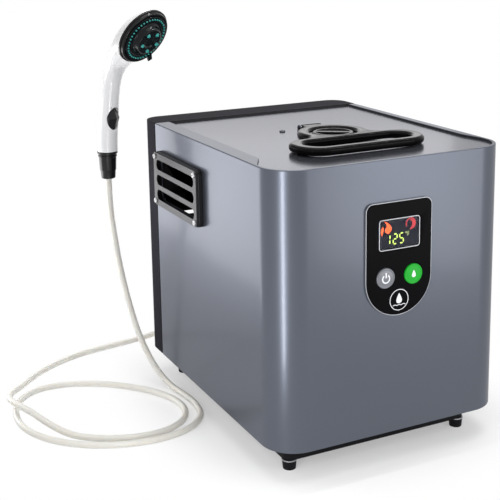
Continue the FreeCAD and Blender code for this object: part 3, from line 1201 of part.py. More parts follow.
def spray_face():
    """Turning face plate with centre boss and selector tab."""
    r = FACE_R - BEZEL_WALL - CLEAR
    plate = face_disc(r, -SPRAY_THICK + FLAT_GAP, SPRAY_PROUD)
    boss = Part.makeCone(BOSS_R + 2, BOSS_R, BOSS_RISE, FACE_C + FACE_N * SPRAY_PROUD, FACE_N)
    root = NOZZLE_RING_R + NOZZLE_R + 1
    tab = Part.makeBox(SELECTOR_TAB_W, FACE_R + SELECTOR_REACH - root, 3.0, V(-SELECTOR_TAB_W / 2, root, 0))
    tab.rotate(V(0, 0, 0), V(0, 0, 1), -SELECTOR_TAB)
    tab.Placement = FreeCAD.Placement(FACE_C + FACE_N * (SPRAY_PROUD - 0.4), face_turn()).multiply(tab.Placement)
    return fuse([plate, boss, tab])


def face_turn():
    """Rotation that carries +Z to the face's normal and +Y to its lower edge."""
    down = V(0, 0, -1) - FACE_N * V(0, 0, -1).dot(FACE_N)
    down.normalize()
    side = down.cross(FACE_N)
    return FreeCAD.Rotation(side, down, FACE_N, "ZXY")


def on_face(radius, degrees, lift):
    """Point on the face, counted from its lower edge."""
    local = V(radius * math.sin(math.radians(degrees)), radius * math.cos(math.radians(degrees)), lift)
    return FACE_C + face_turn().multVec(local)


def spray_nozzles():
    """Soft nozzles: a ring of small ones and a few larger ones on the boss."""
    ring = [Part.makeCone(NOZZLE_R * 1.2, NOZZLE_R * 0.7, NOZZLE_LONG, on_face(NOZZLE_RING_R, 360 / NOZZLE_COUNT * (i + 0.5), SPRAY_PROUD), FACE_N)
            for i in range(NOZZLE_COUNT)]
    jets = [Part.makeCone(JET_R * 1.2, JET_R * 0.8, 2.0, on_face(JET_RING_R, 360 / JET_COUNT * i, SPRAY_PROUD + BOSS_RISE), FACE_N)
            for i in range(JET_COUNT)]
    return ring + jets


def hose_collar():
    """Black collar that holds the hose on the handle."""
    flange = Part.makeCylinder(COLLAR_R, COLLAR_FLANGE, V(0, 0, -COLLAR_FLANGE))
    barrel = Part.makeCone(COLLAR_END_R, COLLAR_TOP_R, COLLAR_LONG - COLLAR_FLANGE + 0.5, V(0, 0, -COLLAR_LONG))
    return fuse([flange, barrel])


def shower_hose():
    """Silicone hose, plain solid."""
    return swept(HOSE_ROUTE, HOSE_R, "shower_hose")


# ---------------------------------------------------------------- write every node
export("housing_wrap", housing_wrap())
export("rear_cover", rear_cover())
export("cover_screws", *cover_screws())
export("top_plate", top_plate())
export("top_gasket", top_gasket())
export("base_pan", base_pan())
export("base_tray", base_tray())
export("feet", *feet())
export("foot_washers", *foot_washers())
export("foot_screws", *foot_screws())
export("control_panel", control_panel())
export("panel_trim", panel_trim())
export("display_lens", display_lens())
export("lcd_module", lcd_module())
export("power_button", push_button(-BUTTON_X))
export("start_button", push_button(BUTTON_X))
export("control_board", *control_board())
export("vent_frame", vent_frame())
export("vent_plate", vent_plate())
export("vent_screws", *vent_screws())
export("carry_handle", carry_handle())
export("hinge_bracket", hinge_bracket())
export("hinge_pin", hinge_pin())
export("bracket_screws", *bracket_screws())
export("lock_post", lock_post())
export("lock_knob", lock_knob())
export("water_inlet", fitting(INLET_X, THREAD_R, BORE_R))
export("water_outlet", fitting(OUTLET_X, THREAD_R, BORE_R))
export("gas_inlet", fitting(GAS_X, GAS_THREAD_R, BORE_R - 2))
export("hose_nut", hose_nut())
export("charge_socket", charge_socket())
export("socket_cap", socket_cap())
export("burner_tray", burner_tray())
export("burner_bars", *burner_bars())
export("gas_manifold", gas_manifold())
export("gas_valve", gas_valve())
export("gas_pipe", gas_pipe())
export("combustion_chamber", combustion_chamber())
export("exchanger_fins", exchanger_fins())
export("exchanger_tube", exchanger_tube())
export("exhaust_hood", exhaust_hood())
export("igniter", igniter())
export("thermal_cutout", thermal_cutout())
export("flow_sensor", flow_sensor())
export("flow_rotor", flow_rotor())
export("water_pump", water_pump())
export("pump_impeller", pump_impeller())
export("pump_pipe", pump_pipe())
export("cold_pipe", cold_pipe())
export("hot_pipe", hot_pipe())
export("battery_pack", battery_pack())
export("battery_strap", battery_strap())
export("spark_module", spark_module())
export("handset_shell", to_handset(handset_shell()))
export("spray_bezel", to_handset(spray_bezel()))
export("spray_face", to_handset(spray_face()))
export("spray_nozzles", *[to_handset(n) for n in spray_nozzles()])
export("flow_button", to_handset(flow_button()))
export("hose_collar", to_handset(hose_collar()))
export("shower_hose", shower_hose())
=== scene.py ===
import json
import math

import bmesh
import bpy
import numpy as np
from mathutils import Matrix, Vector

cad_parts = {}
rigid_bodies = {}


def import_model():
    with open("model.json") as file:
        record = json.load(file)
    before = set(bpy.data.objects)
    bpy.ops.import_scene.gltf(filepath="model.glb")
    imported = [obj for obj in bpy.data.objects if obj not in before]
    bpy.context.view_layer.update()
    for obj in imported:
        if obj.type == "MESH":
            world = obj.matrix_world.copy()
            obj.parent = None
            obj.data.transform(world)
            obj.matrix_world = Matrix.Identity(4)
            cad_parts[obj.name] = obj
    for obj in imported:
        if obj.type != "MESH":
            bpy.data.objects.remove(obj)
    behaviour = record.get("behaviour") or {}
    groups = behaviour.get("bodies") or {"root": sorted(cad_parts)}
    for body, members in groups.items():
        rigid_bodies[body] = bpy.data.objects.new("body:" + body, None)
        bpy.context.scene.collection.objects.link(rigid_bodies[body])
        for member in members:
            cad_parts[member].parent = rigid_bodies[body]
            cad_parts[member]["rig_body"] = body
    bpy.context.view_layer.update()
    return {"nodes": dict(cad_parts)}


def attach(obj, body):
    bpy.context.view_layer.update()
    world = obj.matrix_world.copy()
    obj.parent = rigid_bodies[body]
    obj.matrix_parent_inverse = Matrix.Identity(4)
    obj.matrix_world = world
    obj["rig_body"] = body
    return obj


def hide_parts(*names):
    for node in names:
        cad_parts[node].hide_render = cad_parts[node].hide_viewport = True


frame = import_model()
scene = bpy.context.scene

# ------------------------------------------------------------------ studio
# White floor and a pale room under one broad softbox. Five weak lamps stand where the paint and the
# gloss black mirror them: side, front and back panels, a strip for the corner, a line for the top.


class Shade:
    """One shader socket. Signs between sockets and numbers add Math nodes; put() adds any other node."""

    def __init__(self, tree, socket):
        self.tree, self.socket = tree, socket

    def put(self, kind, settings, values, out=0):
        """New node of that kind: its settings first, then its inputs by name or place."""
        node = self.tree.nodes.new("ShaderNode" + kind)
        for key, value in settings.items():
            setattr(node, key, value)
        for key, value in values.items():
            if isinstance(value, Shade):
                self.tree.links.new(value.socket, node.inputs[key])
            else:
                node.inputs[key].default_value = value
        return Shade(self.tree, node.outputs[out])

    def sign(self, operation, first, second):
        """Math node on two values."""
        return self.put("Math", {"operation": operation}, {0: first, 1: second})

    def __add__(self, other):
        return self.sign("ADD", self, other)

    __radd__ = __add__

    def __sub__(self, other):
        return self.sign("SUBTRACT", self, other)

    def __rsub__(self, other):
        return self.sign("SUBTRACT", other, self)

    def __mul__(self, other):
        return self.sign("MULTIPLY", self, other)

    __rmul__ = __mul__

    def blend(self, low, high):
        """Colour from low to high as this value goes from 0 to 1."""
        colours = {6: (*low, 1.0) if isinstance(low, tuple) else low,
                   7: (*high, 1.0) if isinstance(high, tuple) else high}
        return self.put("Mix", {"data_type": "RGBA"}, {0: self, **colours}, out=2)

    def noise(self, scale, detail=3.0, stretch=(1.0, 1.0, 1.0)):
        """Noise from 0 to 1 at these coordinates, scale in cycles per metre; stretch multiplies it by axis."""
        place = self.put("Mapping", {}, {"Vector": self, "Scale": stretch})
        return place.put("TexNoise", {}, {"Vector": place, "Scale": scale, "Detail": detail})


class Finish:
    """A material with one Principled shader; its sockets are set by name, from numbers or shades."""

    def __init__(self, name, colour, **sockets):
        self.material = bpy.data.materials.new(name)
        self.material.use_nodes = True
        self.tree = self.material.node_tree
        self.shader = self.tree.nodes["Principled BSDF"]
        coordinates = self.tree.nodes.new("ShaderNodeTexCoord")
        self.where = Shade(self.tree, coordinates.outputs["Object"])
        self.set(Base_Color=colour, **sockets)

    def set(self, **sockets):
        """Sets or links sockets of the shader; an underscore in a name stands for a space."""
        for key, value in sockets.items():
            socket = self.shader.inputs[key.replace("_", " ")]
            if isinstance(value, Shade):
                self.tree.links.new(value.socket, socket)
            elif socket.type == "RGBA":
                socket.default_value = (*value, 1.0)
            else:
                socket.default_value = value
        return self

    def grain(self, height, depth):
        """Bumps the surface by height (0 to 1), depth in metres."""
        bump = height.put("Bump", {}, {"Height": height, "Distance": depth, "Strength": 1.0})
        return self.set(Normal=bump)


FLOOR_REACH = 14.0
floor_corners = [(x * FLOOR_REACH, y * FLOOR_REACH, 0) for x, y in ((-1, -1), (1, -1), (1, 1), (-1, 1))]
floor_mesh = bpy.data.meshes.new("floor")
floor_mesh.from_pydata(floor_corners, [], [(0, 1, 2, 3)])
floor = bpy.data.objects.new("floor", floor_mesh)
scene.collection.objects.link(floor)
PAPER_WHITE, PAPER_SHADE, PAPER_CLOUD = (0.94, 0.94, 0.94), (0.92, 0.92, 0.92), 6.0
paper = Finish("paper_sweep", PAPER_WHITE, Roughness=0.9)
paper.set(Base_Color=paper.where.noise(PAPER_CLOUD).blend(PAPER_SHADE, PAPER_WHITE))


def background_rays(tree):
    """1 for the rays that see the background: from the camera, off a gloss or through glass."""
    camera_ray, glossy, passed = [Shade(tree, tree.nodes.new("ShaderNodeLightPath").outputs[name])
                                  for name in ("Is Camera Ray", "Is Glossy Ray", "Is Transmission Ray")]
    return camera_ray.sign("MAXIMUM", camera_ray.sign("MAXIMUM", camera_ray, glossy), passed)


# The floor glows for those rays: by NEAR_GLOW under the casing and as white as the room from GLOW_REACH beside
# the footprint on. The weaker glow round the footprint is painted shade, and the casing's own shadow stays there
# too.
NEAR_GLOW, GLOW_REACH = 0.35, 0.11
FOOTPRINT = (0.15, 0.192, 0.0)    # half the casing's width and depth
beside = paper.where.put("VectorMath", {"operation": "ABSOLUTE"}, {0: paper.where})
beside = beside.put("VectorMath", {"operation": "SUBTRACT"}, {0: beside, 1: FOOTPRINT})
beside = beside.put("VectorMath", {"operation": "MAXIMUM"}, {0: beside, 1: (0.0, 0.0, 0.0)})
away = beside.put("VectorMath", {"operation": "LENGTH"}, {0: beside}, out=1)
away = away.put("MapRange", {"interpolation_type": "SMOOTHSTEP"},
                {0: away, 1: 0.0, 2: GLOW_REACH, 3: NEAR_GLOW, 4: 1.0})
seen = background_rays(paper.tree) * away
glow = seen.put("Emission", {}, {"Color": (1, 1, 1, 1), "Strength": 1.0})
mixed = seen.put("MixShader", {}, {0: seen, 1: Shade(paper.tree, paper.shader.outputs[0]), 2: glow})
paper.tree.links.new(mixed.socket, paper.tree.nodes["Material Output"].inputs["Surface"])
floor_mesh.materials.append(paper.material)

world = bpy.data.worlds.new("pale_room")
scene.world = world
world.use_nodes = True
ROOM_LIGHT = 0.45
ambient = world.node_tree.nodes["Background"]
ambient.inputs["Color"].default_value = (1, 1, 1, 1)
shown = background_rays(world.node_tree)
world.node_tree.links.new((shown * (1.0 - ROOM_LIGHT) + ROOM_LIGHT).socket, ambient.inputs["Strength"])


def lamp(name, place, target, width, height, watts):
    """Rectangular soft lamp at a place, facing a target, that the camera doesn't see."""
    data = bpy.data.lights.new(name, "AREA")
    data.shape, data.size, data.size_y, data.energy = "RECTANGLE", width, height, watts
    made = bpy.data.objects.new(name, data)
    made.location = place
    made.rotation_euler = (Vector(target) - Vector(place)).to_track_quat("-Z", "Y").to_euler()
    made.visible_camera = False
    scene.collection.objects.link(made)


lamp("side_panel", (-0.43, 0.64, 0.18), (-0.15, 0.62, 0.18), 0.86, 0.34, 2.9)
lamp("front_panel", (0.36, -0.72, 0.31), (0.02, -0.19, 0.22), 0.36, 0.60, 1.8)
lamp("corner_strip", (-0.36, -0.345, 0.19), (-0.13, -0.18, 0.19), 0.045, 0.34, 0.78)
lamp("overhead_line", (0.45, -0.12, 1.60), (0.45, -0.10, 0.35), 1.6, 0.014, 6.0)
lamp("back_panel", (0.55, 1.1, 0.74), (0.0, -0.10, 0.35), 0.80, 0.30, 0.8)
lamp("top_softbox", (0.0, 0.0, 2.4), (0.0, 0.0, 0.2), 2.2, 2.2, 25.0)

LENS_MM, SENSOR_MM = 78.338, 36.0
CAMERA_PLACE = (-0.64072, -1.1496, 0.59903)
HEADING, DIP, ROLL = 25.823, 11.655, -0.9467    # degrees
DROP = -0.20    # lens shift, as a share of the frame
NEAREST, FARTHEST = 0.05, 60.0
lens = bpy.data.cameras.new("studio_camera")
lens.lens, lens.sensor_width, lens.shift_y = LENS_MM, SENSOR_MM, DROP
lens.clip_start, lens.clip_end = NEAREST, FARTHEST
camera = bpy.data.objects.new("studio_camera", lens)
scene.collection.objects.link(camera)
camera.matrix_world = (Matrix.Translation(CAMERA_PLACE)
                       @ Matrix.Rotation(math.radians(-HEADING), 4, "Z")
                       @ Matrix.Rotation(math.radians(90.0 - DIP), 4, "X")
                       @ Matrix.Rotation(math.radians(ROLL), 4, "Z"))
scene.camera = camera
scene.view_settings.view_transform = "Standard"

# ------------------------------------------------------------------ casing wrap
# Front and both sides folded from one steel sheet, bent to a large radius at the front corners and
# sprayed with a fine metallic blue-grey. Its top lip turns in over the plate.
CASE_TOP, CASE_SIDE, CASE_FRONT, CORNER_R = 0.352, 0.150, -0.192, 0.039    # metres
FOLD_R, FOLD_STEPS = 1.1, 4    # radius in millimetres, steps of the bend
SEAM_GAP, FLAT_ANGLE = 2e-6, 0.6    # seams up to this wide close (metres), up to this bent go flat (degrees)


def dressed(node, finish, edge, corner=30.0, segments=2, fold=None):
    """The CAD piece with its seams merged, its corners rounded by edge (mm) and its curves shaded smooth.
    fold picks edges, by their two ends, that are bent to the radius FOLD_R instead."""
    mesh = frame["nodes"][node].data.copy()
    work = bmesh.new()
    work.from_mesh(mesh)
    bmesh.ops.remove_doubles(work, verts=work.verts, dist=SEAM_GAP)
    bmesh.ops.dissolve_limit(work, angle_limit=math.radians(FLAT_ANGLE), verts=work.verts, edges=work.edges)
    if fold:
        weight = work.edges.layers.float.new("bevel_weight_edge")
        for bend in work.edges:
            bend[weight] = float(fold(*bend.verts))
    work.to_mesh(mesh)
    work.free()
    mesh.materials.clear()
    mesh.materials.append(finish.material)
    mesh.shade_smooth()
    mesh.set_sharp_from_angle(angle=math.radians(corner))
    piece = bpy.data.objects.new(node + "_finished", mesh)
    scene.collection.objects.link(piece)
    if fold:
        bent = piece.modifiers.new("fold", "BEVEL")
        bent.width, bent.segments, bent.limit_method = FOLD_R / 1000, FOLD_STEPS, "WEIGHT"
        bent.use_clamp_overlap, bent.harden_normals = False, True
    if edge:
        rounding = piece.modifiers.new("edges", "BEVEL")
        rounding.width, rounding.segments = edge / 1000, segments
        rounding.limit_method, rounding.angle_limit = "ANGLE", math.radians(corner)
        rounding.use_clamp_overlap, rounding.harden_normals = False, True
    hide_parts(node)
    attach(piece, frame["nodes"][node]["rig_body"])


def coat(finish, *nodes):
    """Gives CAD pieces that keep their own shape a finish."""
    for node in nodes:
        materials = frame["nodes"][node].data.materials
        materials.clear()
        materials.append(finish.material)


DRIFT_SCALE, FLAKE_SCALE, PEEL_SCALE = 3.0, 2600.0, 420.0    # cycles per metre
PEEL_DEPTH = 0.000012


def sprayed(name, colour, darker, roughness, metallic):
    """Sprayed metallic paint: fine flake, a slow drift of tone and a faint orange peel."""
    paint = Finish(name, colour, Metallic=metallic, Coat_Weight=0.2, Coat_Roughness=0.12,
                   Specular_Tint=(0.60, 0.60, 0.63))
    drift = paint.where.noise(DRIFT_SCALE, 2.0)
    flake = paint.where.noise(FLAKE_SCALE, 1.0)
    paint.set(Base_Color=(drift * 0.7 + flake * 0.3).blend(darker, colour),
              Roughness=flake * 0.08 + roughness)
    return paint.grain(paint.where.noise(PEEL_SCALE, 2.0), PEEL_DEPTH)


case_paint = sprayed("case_paint", (0.098, 0.109, 0.135), (0.091, 0.101, 0.126), 0.28, 0.7)
NEAR_FLAT, NEAR_ARC = 1e-5, 1e-4    # a point this close to a flat or to a corner's arc lies on it


def top_fold(first, second):
    """Whether an edge lies on the outer rim of the casing's top: on a straight side or on a corner's arc."""
    def outside(spot):
        x, y, z = spot.co
        arc_x, arc_y = abs(x) - CASE_SIDE + CORNER_R, y - CASE_FRONT - CORNER_R
        on_arc = arc_x > 0 > arc_y and math.hypot(arc_x, arc_y) > CORNER_R - NEAR_ARC
        on_flat = abs(x) > CASE_SIDE - NEAR_FLAT or y < CASE_FRONT + NEAR_FLAT
        return z > CASE_TOP - NEAR_FLAT and (on_arc or on_flat)
    return outside(first) and outside(second)


dressed("housing_wrap", case_paint, 0.3, fold=top_fold)

# ------------------------------------------------------------------ rear cover and its screws
# Deep-drawn cap over the back, darker than the wrap, with two banks of air slots; a tongue slides
# inside the wrap and leaves a shadow gap. Pan-head screws hold it down both edges.
cover_paint = sprayed("cover_paint", (0.038, 0.037, 0.043), (0.034, 0.033, 0.039), 0.42, 0.85)
cover_paint.set(Coat_Weight=0.0, Specular_IOR_Level=0.1, Specular_Tint=(0.28, 0.28, 0.29))
dressed("rear_cover", cover_paint, 0.35)
BRUSH_DEPTH = 0.00003


def rolled_sheet(name, colour, roughness, stretch, scale=55.0):
    """Rolled or brushed metal: fine lines that run across the axis of the largest stretch."""
    metal = Finish(name, colour, Metallic=1.0)
    lines = metal.where.noise(scale, 5.0, stretch)
    darker = tuple(channel * 0.72 for channel in colour)
    metal.set(Base_Color=lines.blend(darker, colour), Roughness=lines * 0.2 + roughness)
    return metal.grain(lines, BRUSH_DEPTH)


screw_steel = rolled_sheet("screw_steel", (0.52, 0.52, 0.53), 0.30, (1.0, 1.0, 1.0))
dressed("cover_screws", screw_steel, 0.0)

# ------------------------------------------------------------------ top plate and rubber strip
# Flat sheet held up under the lips, in a smoother coat that mirrors the handle softly, a little lighter and
# greyer than the wrap as painted light on the top; a black rubber strip round it stands in for the shadow gap
# under the lips as painted shade, a thin dark line.
# A little lighter than the wrap's paint: painted light on the top.
top_lit_plate_paint = sprayed("top_lit_plate_paint", (0.108, 0.113, 0.131), (0.100, 0.105, 0.122), 0.18, 0.68)
dressed("top_plate", top_lit_plate_paint, 0.3)
# Near-black strip: painted shade, standing in for the shadow gap under the lips.
gap_shade_rubber = Finish("gap_shade_rubber", (0.012, 0.012, 0.013), Roughness=0.7)
STRIP_GRAIN, STRIP_DEPTH = 900.0, 0.00002
gap_shade_rubber.grain(gap_shade_rubber.where.noise(STRIP_GRAIN), STRIP_DEPTH)
coat(gap_shade_rubber, "top_gasket")

# ------------------------------------------------------------------ plinth, feet and their screws
# Black moulded tray under a plain zinc-plated pan. Four turned rubber feet carry it, each held by a
# pan-head screw through a plated washer.
BLOTCH_SCALE, GLOSS_SPREAD = 22.0, 0.12


def moulded(name, colour, roughness, texture=1100.0, depth=0.00002, **sockets):
    """Moulded plastic or rubber with a fine spark-eroded texture and slightly uneven gloss."""
    plastic = Finish(name, colour, **sockets)
    pale = tuple(channel * 1.25 + 0.0005 for channel in colour)
    fine = plastic.where.noise(texture, 2.0)
    broad = plastic.where.noise(BLOTCH_SCALE, 3.0)
    plastic.set(Base_Color=(fine * 0.5 + broad * 0.5).blend(colour, pale),
                Roughness=broad * GLOSS_SPREAD + roughness - GLOSS_SPREAD / 2)
    return plastic.grain(fine, depth)


tray_plastic = moulded("tray_plastic", (0.006, 0.006, 0.007), 0.55, Specular_IOR_Level=0.08)
dressed("base_tray", tray_plastic, 0.5)
foot_rubber = moulded("foot_rubber", (0.006, 0.006, 0.007), 0.6, Specular_IOR_Level=0.1)
dressed("feet", foot_rubber, 0.5)
HAZE_SCALE, PITS_SCALE, PITS_DEPTH = 60.0, 1500.0, 0.000008


def plated(name, colour, roughness):
    """Plating or bare metal, turned or stamped: a faint haze and very small pits."""
    metal = Finish(name, colour, Metallic=1.0)
    haze = metal.where.noise(HAZE_SCALE, 4.0)
    darker = tuple(channel * 0.86 for channel in colour)
    metal.set(Base_Color=haze.blend(darker, colour), Roughness=haze * 0.14 + roughness)
    return metal.grain(metal.where.noise(PITS_SCALE, 1.0), PITS_DEPTH)


bright_plate = plated("bright_plate", (0.46, 0.47, 0.49), 0.24)
dressed("foot_washers", bright_plate, 0.2)
coat(bright_plate, "foot_screws")
zinc = rolled_sheet("zinc_sheet", (0.62, 0.63, 0.65), 0.34, (8.0, 1.0, 8.0))
coat(zinc, "base_pan")

# ------------------------------------------------------------------ control panel
# Glossy black shield with a thin bright frame, set in the front sheet. Its window is a clear lens over a dark
# display that glows faintly: partly its backlight, partly painted light for the room light the lens blocks; the
# badge below the buttons is a plain drop in a thin ring.
PANEL_FACE, LENS_FACE, INK = -195.6, -195.3, 0.05    # two faces and the thickness of print, millimetres


def skin(grid, closed=False):
    """Points and faces of a grid (rows, columns, xyz): a quad between each four neighbours. The last column
    joins the first. closed joins the last row to the first; without it a cap fills each of the two."""
    rows, columns = grid.shape[:2]
    index = np.arange(rows * columns).reshape(rows, columns)
    ends = [] if closed else [index[0, ::-1].tolist(), index[-1].tolist()]
    index = np.hstack((index, index[:, :1]))
    if closed:
        index = np.vstack((index, index[:1]))
    quads = np.stack((index[:-1, :-1], index[:-1, 1:], index[1:, 1:], index[1:, :-1]), -1).reshape(-1, 4)
    return grid.reshape(-1, 3), quads, ends


POLE_GAP, SHARP_ANGLE = 1e-6, 35.0    # points this close merge (metres), edges sharper stay (degrees)


def solid(name, skins, finish, like, replaces=()):
    """One object from closed skins in millimetres, riding with the body of the node like."""
    points, faces, count = [], [], 0
    for spots, quads, ends in skins:
        points.append(spots)
        faces += (quads + count).tolist() + [[i + count for i in end] for end in ends]
        count += len(spots)
    mesh = bpy.data.meshes.new(name)
    mesh.from_pydata((np.vstack(points) / 1000).tolist(), [], faces)
    work = bmesh.new()
    work.from_mesh(mesh)
    bmesh.ops.remove_doubles(work, verts=work.verts, dist=POLE_GAP)
    bmesh.ops.recalc_face_normals(work, faces=work.faces)
    work.to_mesh(mesh)
    work.free()
    mesh.materials.append(finish.material)
    mesh.shade_smooth()
    mesh.set_sharp_from_angle(angle=math.radians(SHARP_ANGLE))
    piece = bpy.data.objects.new(name, mesh)
    scene.collection.objects.link(piece)
    if replaces:
        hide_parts(*replaces)
    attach(piece, frame["nodes"][like]["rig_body"])
    return piece


def flow(points, steps):
    """Smooth line through points (Catmull-Rom): each span blends its two ends with their neighbours."""
    p = np.asarray(points, float)
    q = np.vstack((2 * p[0] - p[1], p, 2 * p[-1] - p[-2]))
    t = np.linspace(0.0, len(p) - 1, steps)
    i = np.minimum(t.astype(int), len(p) - 2)
    u = (t - i)[:, None]
    a, b, c, d = q[i], q[i + 1], q[i + 2], q[i + 3]
    return 0.5 * (2 * b + (c - a) * u + (2 * a - 5 * b + 4 * c - d) * u ** 2 + (3 * b - a - 3 * c + d) * u ** 3)


def band(left, right, place, closed=False):
    """Printed area between two lines: their points, at the foot and at the top of the ink, put on the
    surface by place(across, up, lift)."""
    corners = ((left, -INK / 2), (right, -INK / 2), (right, INK), (left, INK))
    grid = np.stack([place(c[:, 0], c[:, 1], np.full(len(c), lift)) for c, lift in corners], 1)
    return skin(grid, closed=closed)


def stroke(path, width, place, closed=False):
    """Printed line along a flat path: its two sides lie half the width off the path, at right angles to it.
    The width may be one number or one for each point."""
    path = np.asarray(path, float)
    around = np.vstack((path[-1:], path, path[:1])) if closed else path
    along = np.gradient(around, axis=0)[1:-1] if closed else np.gradient(path, axis=0)
    side = np.stack((-along[:, 1], along[:, 0]), 1) / np.linalg.norm(along, axis=1)[:, None]
    half = np.broadcast_to(width, len(path))[:, None] / 2
    return band(path + side * half, path - side * half, place, closed)


def arc(centre, radius, start, stop, steps=40):
    """Points on a circle between two angles in degrees."""
    turn = np.radians(np.linspace(start, stop, steps))
    return np.stack((centre[0] + radius * np.cos(turn), centre[1] + radius * np.sin(turn)), 1)


def on_lens(across, up, lift):
    """Place in front of the display window's face."""
    return np.stack((across, LENS_FACE - lift, up), -1)


def on_panel(across, up, lift):
    """Place in front of the panel's face."""
    return np.stack((across, PANEL_FACE - lift, up), -1)


def drop(centre, high, place):
    """Filled drop: an upright line whose width is a sine of the height, pushed towards the foot, and
    narrows to the tip."""
    t = np.linspace(0.0, 1.0, 24)
    width = high * 0.66 * np.sin(np.pi * t ** 0.62) ** 0.8 * (1.0 - 0.25 * t) + 0.04
    upright = np.stack((np.full(len(t), centre[0]), centre[1] + high * (t - 0.5)), 1)
    return stroke(upright, width, place)


gloss_black = moulded("gloss_black_panel", (0.0018, 0.0018, 0.0023), 0.30, 700.0, 0.000004,
                      Specular_IOR_Level=0.03)
dressed("control_panel", gloss_black, 0.9, segments=3)
frame_silver = plated("frame_silver", (0.50, 0.51, 0.54), 0.34)
dressed("panel_trim", frame_silver, 0.35)
lens_glass = Finish("lens_glass", (0.80, 0.84, 0.92), Transmission_Weight=1.0, IOR=1.15)
lens_glass.set(Roughness=lens_glass.where.noise(40.0) * 0.03 + 0.01)
dressed("display_lens", lens_glass, 0.15)
# Faint glow of the display: its backlight, plus painted light in place of the room light that the lens keeps
# from it.
backlight_and_fill_glow = Finish("display_backlight", (0.020, 0.021, 0.036), Roughness=0.5, Emission_Strength=0.032)
backlight_and_fill_glow.set(Emission_Color=backlight_and_fill_glow.where.noise(30.0, 2.0).blend((0.62, 0.66, 1.00), (0.80, 0.84, 1.00)))
coat(backlight_and_fill_glow, "lcd_module")


def lit(name, colour, strength):
    """Backlit segment: slightly uneven glow."""
    glowing = Finish(name, colour, Roughness=0.4, Emission_Strength=strength)
    dimmer = tuple(channel * 0.85 for channel in colour)
    return glowing.set(Emission_Color=glowing.where.noise(200.0).blend(dimmer, colour))


WINDOW_HALF, WINDOW_FOOT, WINDOW_TOP, WINDOW_ROUND = 25.9, 252.2, 286.2, 3.2
corner_turns = [arc((side * (WINDOW_HALF - WINDOW_ROUND), z), WINDOW_ROUND, start, start + 90, 8)
                for side, z, start in ((1, WINDOW_TOP - WINDOW_ROUND, 0), (-1, WINDOW_TOP - WINDOW_ROUND, 90),
                                       (-1, WINDOW_FOOT + WINDOW_ROUND, 180),
                                       (1, WINDOW_FOOT + WINDOW_ROUND, 270))]
white_ink = moulded("white_ink", (0.72, 0.73, 0.76), 0.45)
solid("window_outline", [stroke(np.vstack(corner_turns), 0.65, on_lens, closed=True)], white_ink,
      "display_lens")
flame_orange = lit("flame_segment", (1.0, 0.095, 0.008), 0.85)
# Two tongues of flame, each between a left and a right line from its tip to its foot.
TONGUES = (([(-20.2, 285.2), (-17.6, 281.9), (-16.6, 279.2), (-18.4, 276.6), (-19.0, 273.4)],
            [(-20.1, 285.3), (-14.6, 282.0), (-11.0, 277.6), (-11.0, 274.2), (-14.8, 270.2)]),
           ([(-21.6, 279.4), (-23.7, 276.2), (-24.2, 272.8), (-23.0, 268.8)],
            [(-20.6, 277.0), (-21.0, 274.2), (-21.8, 271.8), (-22.9, 268.8)]))
solid("flame_segment", [band(flow(left, 24), flow(right, 24), on_lens) for left, right in TONGUES],
      flame_orange, "display_lens")
dim_red = lit("round_segment", (0.42, 0.014, 0.022), 0.55)
RING, RING_RADIUS, RING_LINE = (14.2, 278.6), 5.9, 1.3
CRESCENT, CRESCENT_RADIUS = (13.6, 278.4), 4.2
crescent_width = 0.4 + 2.8 * np.sin(np.pi * np.linspace(0.0, 1.0, 40))
solid("round_segment", [stroke(arc(RING, RING_RADIUS, -100, 205), RING_LINE, on_lens),
                        stroke(arc(CRESCENT, CRESCENT_RADIUS, -80, 95), crescent_width, on_lens)],
      dim_red, "display_lens")
DIGIT_WIDE, DIGIT_HIGH, DIGIT_FOOT, SLANT = 4.8, 11.0, 258.3, 0.04
BAR_WIDE, BAR_TIP, BAR_GAP = 1.2, 0.5, 0.8
BARS = {"a": ((0, 1), (1, 1)), "b": ((1, 1), (1, 0.5)), "c": ((1, 0.5), (1, 0)), "d": ((0, 0), (1, 0)),
        "e": ((0, 0), (0, 0.5)), "f": ((0, 0.5), (0, 1)), "g": ((0, 0.5), (1, 0.5))}


def figure(bars, x, z, scale):
    """Seven-bar figure: each bar is a slanted line of four points, narrow at both ends, short of its corners
    by a gap."""
    made = []
    for bar in bars:
        start, end = np.array(BARS[bar], float) * (DIGIT_WIDE, DIGIT_HIGH) * scale
        line = start + (end - start) * np.array([[0.0], [0.25], [0.75], [1.0]])
        along = (line[2] - line[1]) / np.linalg.norm(line[2] - line[1])
        line += along * scale * np.array([[BAR_GAP], [0], [0], [-BAR_GAP]])
        line[:, 0] += line[:, 1] * SLANT
        widths = scale * np.array([BAR_TIP, BAR_WIDE, BAR_WIDE, BAR_TIP])
        made.append(stroke(line + (x, z), widths, on_lens))
    return made


lime = lit("figure_segments", (0.62, 0.86, 0.13), 0.9)
solid("figure_segments", figure("bc", -17.6, DIGIT_FOOT, 1.0) + figure("abged", -8.5, DIGIT_FOOT, 1.0)
      + figure("afgcd", -0.2, DIGIT_FOOT, 1.0), lime, "display_lens")
pale_lime = lit("unit_segment", (0.50, 0.60, 0.24), 0.7)
DEGREE, DEGREE_RADIUS, DEGREE_LINE, UNIT_PLACE, UNIT_SCALE = (8.3, 269.3), 0.7, 0.45, (10.2, 264.9), 0.46
degree_ring = arc(DEGREE, DEGREE_RADIUS, 0, 360, 20)[:-1]
solid("unit_segment", [stroke(degree_ring, DEGREE_LINE, on_lens, closed=True)]
      + figure("afge", *UNIT_PLACE, UNIT_SCALE), pale_lime, "display_lens")
BADGE, BADGE_RADIUS, BADGE_LINE = (0.0, 193.6), 11.8, 0.8
RIPPLE = [(-8.4, 187.4), (-5.6, 188.2), (-2.8, 187.4), (0.0, 188.2), (2.8, 187.4), (5.6, 188.2), (8.4, 187.4)]
